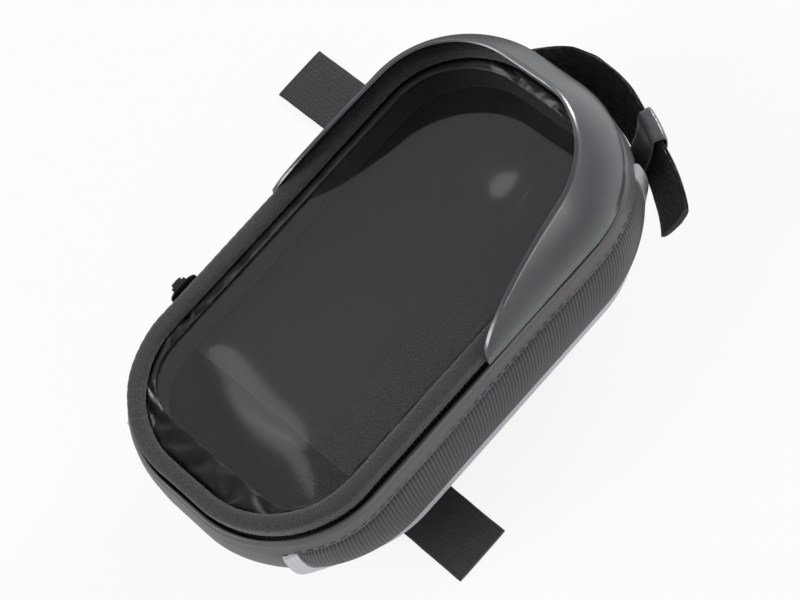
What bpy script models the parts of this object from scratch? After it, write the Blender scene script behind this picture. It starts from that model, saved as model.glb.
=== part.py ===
"""Top tube phone bag: a small soft-shell bag that straps on a bicycle's top tube behind the stem.

A moulded tub with woven side panels carries a zipped lid with a clear window and a crescent sun visor.
The bag's length lies along Y with the stem end at +Y, and it stands on its grip pads at Z = 0.
"""

import math

import bmesh
import bpy
import numpy as np

MM = 0.001
GAP = 0.3 * MM

# Lid outline at the zip, the size that everything else follows
LID_HALF_WIDTH = 42.1 * MM
LID_HALF_LENGTH = 80.9 * MM
LID_CORNER = 34.0 * MM
ZIP_Z = 57.0 * MM
ZIP_HALF_GROOVE = 0.9 * MM

# Tub
SHOULDER_PROUD = 1.8 * MM
SIDE_TAPER = 6.0 * MM
FRONT_TAPER = 5.0 * MM
REAR_TAPER = 12.0 * MM
WALL_SWELL = 3.4 * MM
BASE_EDGE = 5.0 * MM
BASE_EDGE_HEIGHT = 8.0 * MM
PAD_THICKNESS = 2.7 * MM
SKIN_THICKNESS = 1.0 * MM
SHELL_THICKNESS = 3.0 * MM
SHELL_RIM_DROP = 2.5 * MM
BAND_HEIGHT = 6.0 * MM
BAND_BULGE = 0.3 * MM
LINING_THICKNESS = 2.0 * MM
LINING_MARGIN = 5.0 * MM

# Side panels and their reflective piping, measured round the wall from the middle of the side
PANEL_HALF_RUN = 74.0 * MM
PANEL_CORNER = 13.0 * MM
PANEL_BOTTOM_Z = 18.5 * MM
PIPING_WIDTH = 4.0 * MM
PIPING_CROWN = 0.6 * MM
SKIN_EDGE_SPREAD = 0.24 * MM

# Zip
CHAIN_INSET = 0.6 * MM
CHAIN_WIDTH = 1.9 * MM
CHAIN_HALF_GAP = 0.7 * MM
CHAIN_HEIGHT = 1.5 * MM
TAPE_THICKNESS = 0.6 * MM
TAPE_DROP = 14.0 * MM
LID_TAPE_WIDTH = 2.4 * MM
HINGE_HALF_WIDTH = 22.0 * MM

# Lid
ROLL_WIDTH = 5.3 * MM
ROLL_HEIGHT = 4.8 * MM
ROLL_BOTTOM = 2.2 * MM
BORDER_THICKNESS = 0.8 * MM
BORDER_RISE = 1.5 * MM
BORDER_SIDE = 2.0 * MM
BORDER_REAR = 8.3 * MM
BORDER_FRONT = 3.3 * MM
WINDOW_REAR_CORNER = 16.0 * MM
WINDOW_FRONT_CORNER = 25.0 * MM
FILM_THICKNESS = 0.5 * MM
FILM_CROWN = 0.9 * MM
FRAME_DEPTH = 12.0 * MM
FRAME_TOP = 1.0 * MM
FRAME_UNDERCUT = 0.5 * MM
POCKET_THICKNESS = 1.2 * MM
POCKET_REAR_Y = -46.0 * MM
POCKET_STRAP_WIDTH = 20.0 * MM
POCKET_STRAP_HALF_LENGTH = 34.0 * MM
POCKET_STRAP_Y = -8.0 * MM

# Sun visor
VISOR_THICKNESS = 1.2 * MM
VISOR_HEIGHT = 22.0 * MM
VISOR_LEAN = 10.5 * MM
VISOR_TIP_Y = 2.0 * MM
VISOR_TIP_HEIGHT = 2.0 * MM
VISOR_FOOT = 1.2 * MM
VISOR_RAMP = 90.0 * MM

# Straps under the base
STRAP_WIDTH = 20.0 * MM
STRAP_THICKNESS = 1.5 * MM
FRONT_STRAP_INSET = 34.1 * MM
REAR_STRAP_INSET = 47.8 * MM
FRONT_STRAP_END_X = -101.0 * MM
REAR_STRAP_END_X = 58.0 * MM
STRAP_SEWN_X = 27.0 * MM
STRAP_DROP_START = 34.0 * MM
STRAP_DROP_END = 50.0 * MM
BAR_THICKNESS = 0.9 * MM
BAR_WIDTH = 9.0 * MM
BAR_LEG = 3.4 * MM
BAR_X = 17.0 * MM
GRIP_HALF_WIDTH = 20.0 * MM
GRIP_CORNER = 3.0 * MM
GRIP_MARGIN = 2.0 * MM
GRIP_REAR_INSET = 23.7 * MM

# Head tube strap across the front wall
HEAD_STRAP_WIDTH = 20.0 * MM
HEAD_STRAP_THICKNESS = 2.0 * MM
HEAD_STRAP_TOP = 6.0 * MM
HEAD_STRAP_BULGE = 8.0 * MM
HEAD_STRAP_SAG = 12.0 * MM
HEAD_STRAP_START = 25.0 * MM
HEAD_STRAP_SEWN = 7.0 * MM
HEAD_STRAP_TAIL = 16.0 * MM
KEEPER_RUN = 24.0 * MM
KEEPER_WIDTH = 9.0 * MM
KEEPER_THICKNESS = 1.2 * MM

# Zip slider
SLIDER_Y = -36.0 * MM
SLIDER_LENGTH = 12.0 * MM
SLIDER_HEIGHT = 8.0 * MM
SLIDER_THICKNESS = 1.5 * MM
SLIDER_TONGUE = 0.8 * MM
SLIDER_CORNER = 2.4 * MM
LUG_THICKNESS = 0.8 * MM
LUG_HEIGHT = 2.6 * MM
PIN_RADIUS = 0.6 * MM
PULL_WIDTH = 4.0 * MM
PULL_LENGTH = 19.0 * MM
PULL_THICKNESS = 1.4 * MM
PULL_WALL = 0.8 * MM

# Facets
CORNER_STEPS = 8
SIDE_STEPS = 6
END_STEPS = 2
PANEL_LEVELS = 5

BASE_Z = PAD_THICKNESS + GAP
LID_ROUND = min(LID_CORNER, LID_HALF_WIDTH - 1.3 * SIDE_TAPER)
BASE_EDGE_Z = BASE_Z + BASE_EDGE_HEIGHT
SHOULDER_Z = ZIP_Z - 3.0 * MM
BAND_TOP_Z = ZIP_Z - ZIP_HALF_GROOVE
BAND_BOTTOM_Z = BAND_TOP_Z - BAND_HEIGHT
SHELL_RIM_Z = ZIP_Z - SHELL_RIM_DROP
WALL_HALF_WIDTH = LID_HALF_WIDTH + SHOULDER_PROUD
WALL_HALF_LENGTH = LID_HALF_LENGTH + SHOULDER_PROUD
WALL_CORNER = LID_ROUND + SHOULDER_PROUD
FRONT_STRAP_Y = WALL_HALF_LENGTH - FRONT_STRAP_INSET
REAR_STRAP_Y = REAR_STRAP_INSET - WALL_HALF_LENGTH
WINDOW_HALF_WIDTH = LID_HALF_WIDTH - ROLL_WIDTH - GAP - BORDER_SIDE
WINDOW_REAR = LID_HALF_LENGTH - ROLL_WIDTH - GAP - BORDER_REAR
WINDOW_FRONT = LID_HALF_LENGTH - ROLL_WIDTH - GAP - BORDER_FRONT
SKIN_INSIDE = -SKIN_THICKNESS
SHELL_OUTSIDE = SKIN_INSIDE - GAP
SHELL_INSIDE = SHELL_OUTSIDE - SHELL_THICKNESS
PANEL_TOP_Z = BAND_BOTTOM_Z - GAP
PANEL_CORNER_RUN = PANEL_HALF_RUN - PANEL_CORNER
PANEL_CORNER_Z = PANEL_BOTTOM_Z + PANEL_CORNER

# Stretches of the outline, as runs from the middle of the right side round by the front
SIDE_RUN = WALL_HALF_LENGTH - WALL_CORNER
CORNER_RUN = WALL_CORNER * math.pi / 2
END_RUN = WALL_HALF_WIDTH - WALL_CORNER
QUARTER = SIDE_RUN + CORNER_RUN + END_RUN
AROUND = 4 * QUARTER


def clear_scene():
    for obj in list(bpy.data.objects):
        bpy.data.objects.remove(obj, do_unlink=True)


def make_material(name, color, roughness, metallic=0.0, alpha=1.0):
    material = bpy.data.materials.get(name)
    if material:
        return material
    material = bpy.data.materials.new(name)
    material.use_nodes = True
    shader = material.node_tree.nodes["Principled BSDF"]
    shader.inputs["Base Color"].default_value = (*color, 1.0)
    shader.inputs["Roughness"].default_value = roughness
    shader.inputs["Metallic"].default_value = metallic
    shader.inputs["Alpha"].default_value = alpha
    return material


def smooth_pu():
    return make_material("smooth_pu", (0.15, 0.15, 0.155), 0.42)


def gloss_pu():
    return make_material("gloss_pu", (0.012, 0.012, 0.013), 0.2)


def woven_twill():
    return make_material("woven_twill", (0.07, 0.07, 0.08), 0.75)


def woven_binding():
    return make_material("woven_binding", (0.045, 0.042, 0.048), 0.8)


def webbing():
    return make_material("webbing", (0.035, 0.035, 0.037), 0.85)


def reflective_tape():
    return make_material("reflective_tape", (0.5, 0.5, 0.53), 0.35)


def clear_film():
    return make_material("clear_film", (0.9, 0.92, 0.93), 0.05, alpha=0.25)


def foam():
    return make_material("foam", (0.02, 0.02, 0.022), 0.9)


def grip_rubber():
    return make_material("grip_rubber", (0.03, 0.03, 0.03), 0.7)


def zip_metal():
    return make_material("zip_metal", (0.05, 0.05, 0.055), 0.35, metallic=0.9)


def station(run):
    """Place on the rounded outline: corner centre as shares of its half sizes, and the normal's angle."""
    run = (run + AROUND / 2) % AROUND - AROUND / 2
    side = math.copysign(1.0, run)
    along = abs(run)
    if along > QUARTER:
        along = 2 * QUARTER - along
        mirrored = -1.0
    else:
        mirrored = 1.0
    if along <= SIDE_RUN:
        share_x, share_y, angle = 1.0, along / SIDE_RUN, 0.0
    elif along <= SIDE_RUN + CORNER_RUN:
        share_x, share_y, angle = 1.0, 1.0, (along - SIDE_RUN) / WALL_CORNER
    else:
        share_x = 1.0 - (along - SIDE_RUN - CORNER_RUN) / END_RUN
        share_y, angle = 1.0, math.pi / 2
    normal_x = mirrored * math.cos(angle)
    normal_y = side * math.sin(angle)
    return mirrored * share_x, side * share_y, normal_x, normal_y


def stations(runs):
    return np.array([station(run) for run in runs])


def spread(start, end, steps):
    """Evenly spaced values from start up to, but not including, end."""
    return [start + (end - start) * i / steps for i in range(steps)]


def runs_between(start, end):
    """Runs from start to end, with every corner divided alike, so that all layers share their facets."""
    marks = []
    for half_turn in range(-4, 5):
        middle = half_turn * 2 * QUARTER
        for side in (-1, 1):
            a = middle + side * SIDE_RUN
            b = middle + side * (SIDE_RUN + CORNER_RUN)
            marks += [a + (b - a) * i / CORNER_STEPS for i in range(CORNER_STEPS + 1)]
        marks += spread(middle - SIDE_RUN, middle + SIDE_RUN, SIDE_STEPS)
        front = middle + QUARTER
        marks += spread(front - END_RUN, front + END_RUN, END_STEPS)
    inner = sorted(m for m in marks if start + 0.2 * MM < m < end - 0.2 * MM)
    runs = [start]
    for mark in inner:
        if mark - runs[-1] > 0.2 * MM:
            runs.append(mark)
    return runs + [end]


def ring_runs():
    return runs_between(-2 * QUARTER, 2 * QUARTER)[:-1]


def outline(places, half_width, half_length, corner, height):
    """Points on the rounded rectangle of these half sizes, at the given stations."""
    points = np.empty((len(places), 3))
    points[:, 0] = places[:, 0] * (half_width - corner) + corner * places[:, 2]
    points[:, 1] = places[:, 1] * (half_length - corner) + corner * places[:, 3]
    points[:, 2] = height
    return points


def wall_size(height, proud, at_front):
    """Half width, half length and corner radius of the tub's wall, proud of the visible skin.

    The wall leans in towards the base and swells halfway up. Its foot is rounded in a quarter ellipse.
    """
    rise = min((height - BASE_EDGE_Z) / (SHOULDER_Z - BASE_EDGE_Z), 1.0)
    if rise >= 0:
        taper = 1.0 - math.sin(rise * math.pi / 2)
        tuck = -proud - WALL_SWELL * math.sin(rise * math.pi)
    else:
        drop = (BASE_EDGE_Z - height) / (BASE_EDGE_HEIGHT + proud)
        taper = 1.0 - rise * math.pi / 2
        tuck = BASE_EDGE - (BASE_EDGE + proud) * math.sqrt(max(1.0 - drop * drop, 0.0))
        tuck -= WALL_SWELL * rise * math.pi
    end_taper = FRONT_TAPER if at_front else REAR_TAPER
    half_width = WALL_HALF_WIDTH - SIDE_TAPER * taper - tuck
    half_length = WALL_HALF_LENGTH - end_taper * taper - tuck
    return half_width, half_length, WALL_CORNER - tuck


def wall_points(runs, heights, proud):
    """One point of the wall for each run, at its own height, proud of the visible skin."""
    heights = np.broadcast_to(heights, len(runs))
    points = np.empty((len(runs), 3))
    for i, place in enumerate(stations(runs)):
        size = wall_size(heights[i], proud, place[1] > 0)
        points[i] = outline(place[None, :], *size, heights[i])[0]
    return points


def lid_loop(runs, inset, height):
    return outline(
        stations(runs), LID_HALF_WIDTH - inset, LID_HALF_LENGTH - inset, LID_ROUND - inset, height
    )


def window_loop(runs, inset, height):
    """The window's outline, whose rear corners are tighter than its front ones."""
    places = stations(runs)
    front = (places[:, 1] + 1) / 2
    corner = np.where(places[:, 1] > 0, WINDOW_FRONT_CORNER, WINDOW_REAR_CORNER)
    rear_y = -(WINDOW_REAR - WINDOW_REAR_CORNER)
    front_y = WINDOW_FRONT - WINDOW_FRONT_CORNER
    points = np.empty((len(runs), 3))
    points[:, 0] = places[:, 0] * (WINDOW_HALF_WIDTH - corner) + (corner - inset) * places[:, 2]
    points[:, 1] = rear_y + (front_y - rear_y) * front + (corner - inset) * places[:, 3]
    points[:, 2] = height
    return points


def add_object(name, points, faces, material, origin=(0.0, 0.0, 0.0)):
    origin = np.array(origin)
    mesh = bpy.data.meshes.new(name)
    mesh.from_pydata((points - origin).tolist(), [], faces)
    shape = bmesh.new()
    shape.from_mesh(mesh)
    bmesh.ops.recalc_face_normals(shape, faces=shape.faces)
    shape.to_mesh(mesh)
    shape.free()
    mesh.materials.append(material)
    mesh.shade_smooth()
    mesh.set_sharp_from_angle(angle=math.radians(40))
    obj = bpy.data.objects.new(name, mesh)
    obj.location = origin
    bpy.context.scene.collection.objects.link(obj)
    return obj


def loft(name, rows, material, closed=False, origin=(0.0, 0.0, 0.0)):
    """A solid through rows of points: each row is a loop, and the end rows are capped or joined."""
    rows = np.array(rows)
    row_count, loop_count = rows.shape[:2]
    faces = []
    for i in range(row_count if closed else row_count - 1):
        first = i * loop_count
        second = (i + 1) % row_count * loop_count
        for j in range(loop_count):
            k = (j + 1) % loop_count
            faces.append((first + j, first + k, second + k, second + j))
    if not closed:
        faces.append(tuple(range(loop_count)))
        faces.append(tuple((row_count - 1) * loop_count + j for j in range(loop_count)))
    return add_object(name, rows.reshape(-1, 3), faces, material, origin)


def turned_rows(loops):
    """Turns loops that run along the outline into cross-sections, one for each station."""
    return np.array(loops).transpose(1, 0, 2)


def panel_levels():
    """Heights of the facets up the wall, from the panels' lower edge to their upper one."""
    step = (PANEL_TOP_Z - PANEL_BOTTOM_Z) / PANEL_LEVELS
    return [PANEL_BOTTOM_Z + step * i for i in range(PANEL_LEVELS + 1)]


def foot_levels(bottom):
    """Heights of the facets round the foot of a layer whose floor is at this height."""
    return [bottom + share * (BASE_EDGE_Z - bottom) for share in (0.0, 0.08, 0.3, 0.6)]


def make_body_shell():
    runs = ring_runs()
    floor_z = BASE_Z + SKIN_THICKNESS + GAP
    inner_floor_z = floor_z + SHELL_THICKNESS
    wall = [BASE_EDGE_Z] + panel_levels() + [SHELL_RIM_Z]
    outer = foot_levels(floor_z) + wall
    inner = wall[::-1] + foot_levels(inner_floor_z)[::-1]
    rows = [wall_points(runs, z, SHELL_OUTSIDE) for z in outer]
    rows += [wall_points(runs, z, SHELL_INSIDE) for z in inner]
    return loft("body_shell", rows, foam())


def skin_edge(run):
    """Top edge of the outer skin: under the piping along the sides, up to the band round the ends."""
    reach = PANEL_CORNER + GAP * 2 + PIPING_WIDTH
    beyond = abs(run) - PANEL_CORNER_RUN
    if beyond <= 0:
        return PANEL_CORNER_Z - reach
    if beyond < reach:
        return PANEL_CORNER_Z - math.sqrt(max(reach * reach - beyond * beyond, 0.0))
    climb = min((beyond - reach) / SKIN_EDGE_SPREAD, 1.0)
    return PANEL_CORNER_Z + climb * (PANEL_TOP_Z - PANEL_CORNER_Z)


def panel_edge(run):
    beyond = abs(run) - PANEL_CORNER_RUN
    if beyond <= 0:
        return PANEL_BOTTOM_Z
    return PANEL_CORNER_Z - math.sqrt(max(PANEL_CORNER * PANEL_CORNER - beyond * beyond, 0.0))


def corner_runs(reach, steps):
    """Runs along a quarter round of this reach past the panel's corner centre."""
    return [PANEL_CORNER_RUN + reach * math.sin(math.pi / 2 * i / steps) for i in range(steps + 1)]


def side_run(run):
    """Run measured from the middle of the nearest side."""
    return (run + QUARTER) % (2 * QUARTER) - QUARTER


def make_outer_skin():
    """The smooth moulded skin of base and ends, cut away along the sides for the woven panels."""
    reach = PANEL_CORNER + GAP * 2 + PIPING_WIDTH
    marks = corner_runs(reach, 6)
    marks += [marks[-1] + SKIN_EDGE_SPREAD * climb for climb in (1 / 3, 2 / 3, 1.0)]
    around = set()
    for middle in (0.0, 2 * QUARTER):
        for side in (-1, 1):
            around.update(middle + side * mark for mark in marks)
    reshaped_end = marks[-1] + 0.5 * MM
    plain = [r for r in ring_runs() if not PANEL_CORNER_RUN <= abs(side_run(r)) <= reshaped_end]
    wrapped = [(run + 2 * QUARTER) % AROUND - 2 * QUARTER for run in around]
    runs = sorted(plain + wrapped)
    top = np.array([skin_edge(side_run(run)) for run in runs])
    low = BASE_EDGE_Z
    below_edge = [0.1 * MM * (PANEL_LEVELS - i) for i in range(PANEL_LEVELS + 1)]
    upper = [np.minimum(z, top - drop) for z, drop in zip(panel_levels(), below_edge)]
    rows = []
    for z in foot_levels(BASE_Z) + [low]:
        rows.append(wall_points(runs, z, 0.0))
    for heights in upper:
        rows.append(wall_points(runs, heights, 0.0))
    for heights in upper[::-1]:
        rows.append(wall_points(runs, heights, SKIN_INSIDE))
    for z in [low] + foot_levels(BASE_Z + SKIN_THICKNESS)[::-1]:
        rows.append(wall_points(runs, z, SKIN_INSIDE))
    return loft("outer_skin", rows, smooth_pu())


def make_upper_band():
    """The smooth band that hides the seam below the zip."""
    runs = ring_runs()
    profile = [
        (SKIN_INSIDE, BAND_BOTTOM_Z),
        (0.0, BAND_BOTTOM_Z),
        (BAND_BULGE, (BAND_BOTTOM_Z + BAND_TOP_Z) / 2),
        (0.0, SHOULDER_Z + 1.0 * MM),
        (-0.7 * MM, BAND_TOP_Z),
        (SKIN_INSIDE, BAND_TOP_Z),
    ]
    rows = [wall_points(runs, z, proud) for proud, z in profile]
    return loft("upper_band", rows, smooth_pu(), closed=True)


def side_middle(side):
    return 0.0 if side > 0 else 2 * QUARTER


def make_side_panel(name, side):
    """A woven panel laid on the shell, with rounded lower corners."""
    straight = runs_between(-PANEL_CORNER_RUN, PANEL_CORNER_RUN)
    bend = [r for r in corner_runs(PANEL_CORNER * 0.9999, 6)][1:]
    runs = [-r for r in reversed(bend)] + straight + bend
    bottoms = np.array([panel_edge(r) for r in runs])
    shifted = [side_middle(side) + r for r in runs]
    loops = []
    shares = [i / PANEL_LEVELS for i in range(PANEL_LEVELS + 1)]
    for share in shares:
        loops.append(wall_points(shifted, bottoms + share * (PANEL_TOP_Z - bottoms), 0.0))
    for share in shares[::-1]:
        loops.append(wall_points(shifted, bottoms + share * (PANEL_TOP_Z - bottoms), SKIN_INSIDE))
    return loft(name, turned_rows(loops), woven_twill())


def piping_path():
    """Centre line of the piping as (run, height, outward normal), round the panel's edge."""
    reach = PANEL_CORNER + GAP + PIPING_WIDTH / 2
    path = []
    for z in [level for level in panel_levels() if level > PANEL_CORNER_Z + 1.0 * MM][::-1]:
        path.append((-(PANEL_CORNER_RUN + reach), z, -1.0, 0.0))
    for i in range(9):
        angle = math.pi / 2 * i / 8
        run = -(PANEL_CORNER_RUN + reach * math.cos(angle))
        path.append((run, PANEL_CORNER_Z - reach * math.sin(angle), -math.cos(angle), -math.sin(angle)))
    for run in runs_between(-PANEL_CORNER_RUN, 0.0)[1:-1]:
        path.append((run, PANEL_CORNER_Z - reach, 0.0, -1.0))
    mirrored = [(-run, z, -nr, nz) for run, z, nr, nz in reversed(path)]
    return path + [(0.0, PANEL_CORNER_Z - reach, 0.0, -1.0)] + mirrored


def make_piping(name, side):
    half = PIPING_WIDTH / 2
    section = [(-half, SKIN_INSIDE), (half, SKIN_INSIDE), (half, 0.0), (0.0, PIPING_CROWN), (-half, 0.0)]
    rows = []
    for run, z, normal_run, normal_z in piping_path():
        row = []
        for across, proud in section:
            place = side_middle(side) + run + across * normal_run
            row.append(wall_points([place], z + across * normal_z, proud)[0])
        rows.append(row)
    return loft(name, rows, reflective_tape())


def make_lining_pad():
    runs = ring_runs()
    bottom = BASE_Z + SKIN_THICKNESS + GAP + SHELL_THICKNESS + GAP
    foot = wall_points(runs, BASE_EDGE_Z, SHELL_INSIDE - LINING_MARGIN)
    rows = []
    for z in (bottom, bottom + LINING_THICKNESS):
        row = foot.copy()
        row[:, 2] = z
        rows.append(row)
    return loft("lining_pad", rows, foam())


def zip_runs():
    """The zip runs from one end of the front hinge round the rear to the other."""
    start = -(AROUND - QUARTER - HINGE_HALF_WIDTH)
    return runs_between(start, QUARTER - HINGE_HALF_WIDTH)


def band_profile(name, runs, inset, width, bottom, top, material, closed=False):
    """A band of rectangular section along the lid's outline."""
    corners = [(inset, bottom), (inset, top), (inset + width, top), (inset + width, bottom)]
    loops = [lid_loop(runs, i, z) for i, z in corners]
    return loft(name, turned_rows(loops), material, closed=closed)


def make_zip():
    chain_top = ZIP_Z - CHAIN_HALF_GAP
    chain_inset = CHAIN_INSET
    runs = zip_runs()
    band_profile(
        "zip_chain_body", runs, chain_inset, CHAIN_WIDTH, chain_top - CHAIN_HEIGHT, chain_top, zip_metal()
    )
    chain_bottom = ZIP_Z + CHAIN_HALF_GAP
    band_profile(
        "zip_chain_lid",
        runs,
        chain_inset,
        CHAIN_WIDTH,
        chain_bottom,
        ZIP_Z + ROLL_BOTTOM - GAP,
        zip_metal(),
    )
    tape_inset = chain_inset + CHAIN_WIDTH + GAP
    ring = ring_runs()
    tape_bottom = ZIP_Z - TAPE_DROP
    faces = []
    for depth in (0.0, TAPE_THICKNESS):
        proud = SHELL_INSIDE - GAP - depth
        faces.append(
            [
                wall_points(ring, tape_bottom, proud),
                wall_points(ring, (tape_bottom + SHELL_RIM_Z) / 2, proud),
                wall_points(ring, SHELL_RIM_Z, proud),
                lid_loop(ring, tape_inset + depth, chain_top),
            ]
        )
    loft("zip_tape_body", faces[0] + faces[1][::-1], webbing(), closed=True)
    lid_tape_top = ZIP_Z + ROLL_BOTTOM - GAP
    band_profile(
        "zip_tape_lid",
        ring_runs(),
        tape_inset,
        LID_TAPE_WIDTH,
        lid_tape_top - TAPE_THICKNESS,
        lid_tape_top,
        webbing(),
        closed=True,
    )


def make_hinge_strip():
    """The strip of skin on which the lid folds back, sewn to the tub across the middle of the front."""
    half = HINGE_HALF_WIDTH - 1.0 * MM
    runs = runs_between(QUARTER - half, QUARTER + half)
    band_profile(
        "hinge_strip",
        runs,
        CHAIN_INSET,
        CHAIN_WIDTH,
        ZIP_Z - CHAIN_HALF_GAP - CHAIN_HEIGHT,
        ZIP_Z + CHAIN_HALF_GAP,
        smooth_pu(),
    )


def make_lid_roll():
    """The woven binding roll that frames the lid."""
    runs = ring_runs()
    sides = 10
    rows = []
    for i in range(sides):
        angle = 2 * math.pi * (i + 0.5) / sides
        inset = ROLL_WIDTH / 2 * (1 - math.cos(angle))
        z = ZIP_Z + ROLL_BOTTOM + ROLL_HEIGHT / 2 * (1 + math.sin(angle))
        rows.append(lid_loop(runs, inset, z))
    return loft("lid_roll", rows, woven_binding(), closed=True)


def film_bottom():
    return ZIP_Z + FRAME_TOP + GAP


def make_lid_border():
    """The glossy margin between the roll and the window."""
    runs = ring_runs()
    bottom = film_bottom() + FILM_THICKNESS + GAP
    inset = ROLL_WIDTH + GAP
    outer_top = bottom + BORDER_THICKNESS + BORDER_RISE
    inner_top = bottom + BORDER_THICKNESS
    outer = lid_loop(runs, inset, outer_top)
    inner = window_loop(runs, 0.0, inner_top)
    middle = (outer + inner) / 2
    middle[:, 2] = inner_top + BORDER_RISE * 0.7
    under_outer = lid_loop(runs, inset, bottom)
    under_inner = window_loop(runs, 0.0, bottom)
    return loft("lid_border", [under_outer, outer, middle, inner, under_inner], gloss_pu(), closed=True)


def make_window_film():
    """Clear film under the border, a little crowned."""
    runs = ring_runs()
    inset = ROLL_WIDTH + 2 * GAP
    bottom = film_bottom()
    crowned = window_loop(runs, 3.0 * MM, bottom)
    middle = window_loop(runs, 0.0, bottom)
    middle = middle * np.array([0.45, 0.45, 1.0])
    rows = []
    for lift in (0.0, FILM_THICKNESS):
        edge = lid_loop(runs, inset, bottom + lift)
        shoulder = crowned + np.array([0.0, 0.0, lift + FILM_CROWN * 0.35])
        top = middle + np.array([0.0, 0.0, lift + FILM_CROWN])
        rows += [top, shoulder, edge] if lift == 0.0 else [edge, shoulder, top]
    return loft("window_film", rows, clear_film())


def make_foam_frame():
    """Foam frame under the film that holds a phone's edges."""
    runs = ring_runs()
    inset = ROLL_WIDTH + GAP - 0.1 * MM
    top = ZIP_Z + FRAME_TOP
    bottom = top - FRAME_DEPTH
    rows = [
        lid_loop(runs, inset, bottom),
        lid_loop(runs, inset, top),
        window_loop(runs, -FRAME_UNDERCUT, top),
        window_loop(runs, -FRAME_UNDERCUT, bottom),
    ]
    return loft("lid_foam_frame", rows, foam(), closed=True)


def make_pocket():
    """Backing panel under the frame, open at the rear, and the strap that holds a phone up."""
    rear_run = POCKET_REAR_Y / (LID_HALF_LENGTH - LID_ROUND) * SIDE_RUN
    runs = runs_between(rear_run, 2 * QUARTER - rear_run)
    inset = ROLL_WIDTH + 3 * GAP
    top = ZIP_Z + FRAME_TOP - FRAME_DEPTH - GAP
    bottom = top - POCKET_THICKNESS
    loft("pocket_panel", [lid_loop(runs, inset, bottom), lid_loop(runs, inset, top)], foam())
    strap_top = bottom - GAP
    half_y = POCKET_STRAP_WIDTH / 2
    half_x = POCKET_STRAP_HALF_LENGTH
    box("pocket_strap", (-half_x, POCKET_STRAP_Y - half_y, strap_top - STRAP_THICKNESS),
        (half_x, POCKET_STRAP_Y + half_y, strap_top), webbing())


def box(name, low, high, material):
    """A flat piece with softened upright corners, from its lowest to its highest corner."""
    soft = 1.0 * MM
    points = []
    for corner_x, corner_y, start in ((1, 1, 0), (-1, 1, 90), (-1, -1, 180), (1, -1, 270)):
        centre_x = high[0] - soft if corner_x > 0 else low[0] + soft
        centre_y = high[1] - soft if corner_y > 0 else low[1] + soft
        for turn in (0, 45, 90):
            angle = math.radians(start + turn)
            points.append((centre_x + soft * math.cos(angle), centre_y + soft * math.sin(angle)))
    rows = [[(x, y, z) for x, y in points] for z in (low[2], high[2])]
    return loft(name, rows, material)


def visor_height(distance):
    """Height of the visor's free edge above its foot, from the distance to the nearer tip."""
    share = min(distance / VISOR_RAMP, 1.0)
    return VISOR_TIP_HEIGHT + (VISOR_HEIGHT - VISOR_TIP_HEIGHT) * math.sin(share * math.pi / 2) ** 0.5


def visor_lean(distance):
    share = min(distance / VISOR_RAMP, 1.0)
    return VISOR_LEAN * math.sin(share * math.pi / 2) ** 0.7


def make_visor():
    """A crescent of thin moulded sheet that stands round the front of the lid and leans inward."""
    start, end = VISOR_TIP_Y, 2 * QUARTER - VISOR_TIP_Y
    near_tip = [start + share * VISOR_RAMP for share in (0.011, 0.028, 0.056, 0.094, 0.144)]
    far_tip = [end + start - run for run in near_tip]
    middle = runs_between(start + 0.2 * VISOR_RAMP, end - 0.2 * VISOR_RAMP)
    runs = [start] + near_tip + middle + far_tip[::-1] + [end]
    foot_z = ZIP_Z + VISOR_FOOT
    lean_z = ZIP_Z + ROLL_BOTTOM + ROLL_HEIGHT / 2
    places = stations(runs)
    rows = []
    for i, run in enumerate(runs):
        distance = min(run - start, end - run)
        height = visor_height(distance)
        lean = visor_lean(distance)
        top_z = foot_z + height
        bend_z = min(lean_z, foot_z + height * 0.3)
        levels = [foot_z] + [bend_z + share * (top_z - bend_z) for share in (0.0, 0.3, 0.65, 1.0)]
        faces = []
        for proud in (GAP + VISOR_THICKNESS, GAP):
            side = []
            for z in levels:
                above = max(z - lean_z, 0.0) / max(top_z - lean_z, 1.0 * MM)
                inset = lean * min(above, 1.0) ** 1.3 - proud
                side.append(
                    outline(
                        places[i : i + 1],
                        LID_HALF_WIDTH - inset,
                        LID_HALF_LENGTH - inset,
                        LID_ROUND - inset,
                        z,
                    )[0]
                )
            faces.append(side)
        rows.append(faces[0] + faces[1][::-1])
    return loft("visor", rows, smooth_pu())


def make_grip_pad(name, low_y, high_y):
    half = GRIP_HALF_WIDTH
    corner = GRIP_CORNER
    places = stations(ring_runs())
    rows = []
    middle = (low_y + high_y) / 2
    for z, trim in ((0.0, 0.6 * MM), (0.6 * MM, 0.0), (PAD_THICKNESS, 0.0)):
        loop = outline(places, half - trim, (high_y - low_y) / 2 - trim, corner - trim, z)
        rows.append(loop + np.array([0.0, middle, 0.0]))
    return loft(name, rows, grip_rubber())


def make_grip_pads():
    clear = STRAP_WIDTH / 2 + BAR_LEG + GRIP_MARGIN
    make_grip_pad("grip_pad_middle", REAR_STRAP_Y + clear, FRONT_STRAP_Y - clear)
    make_grip_pad("grip_pad_rear", GRIP_REAR_INSET - WALL_HALF_LENGTH, REAR_STRAP_Y - clear)


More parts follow.
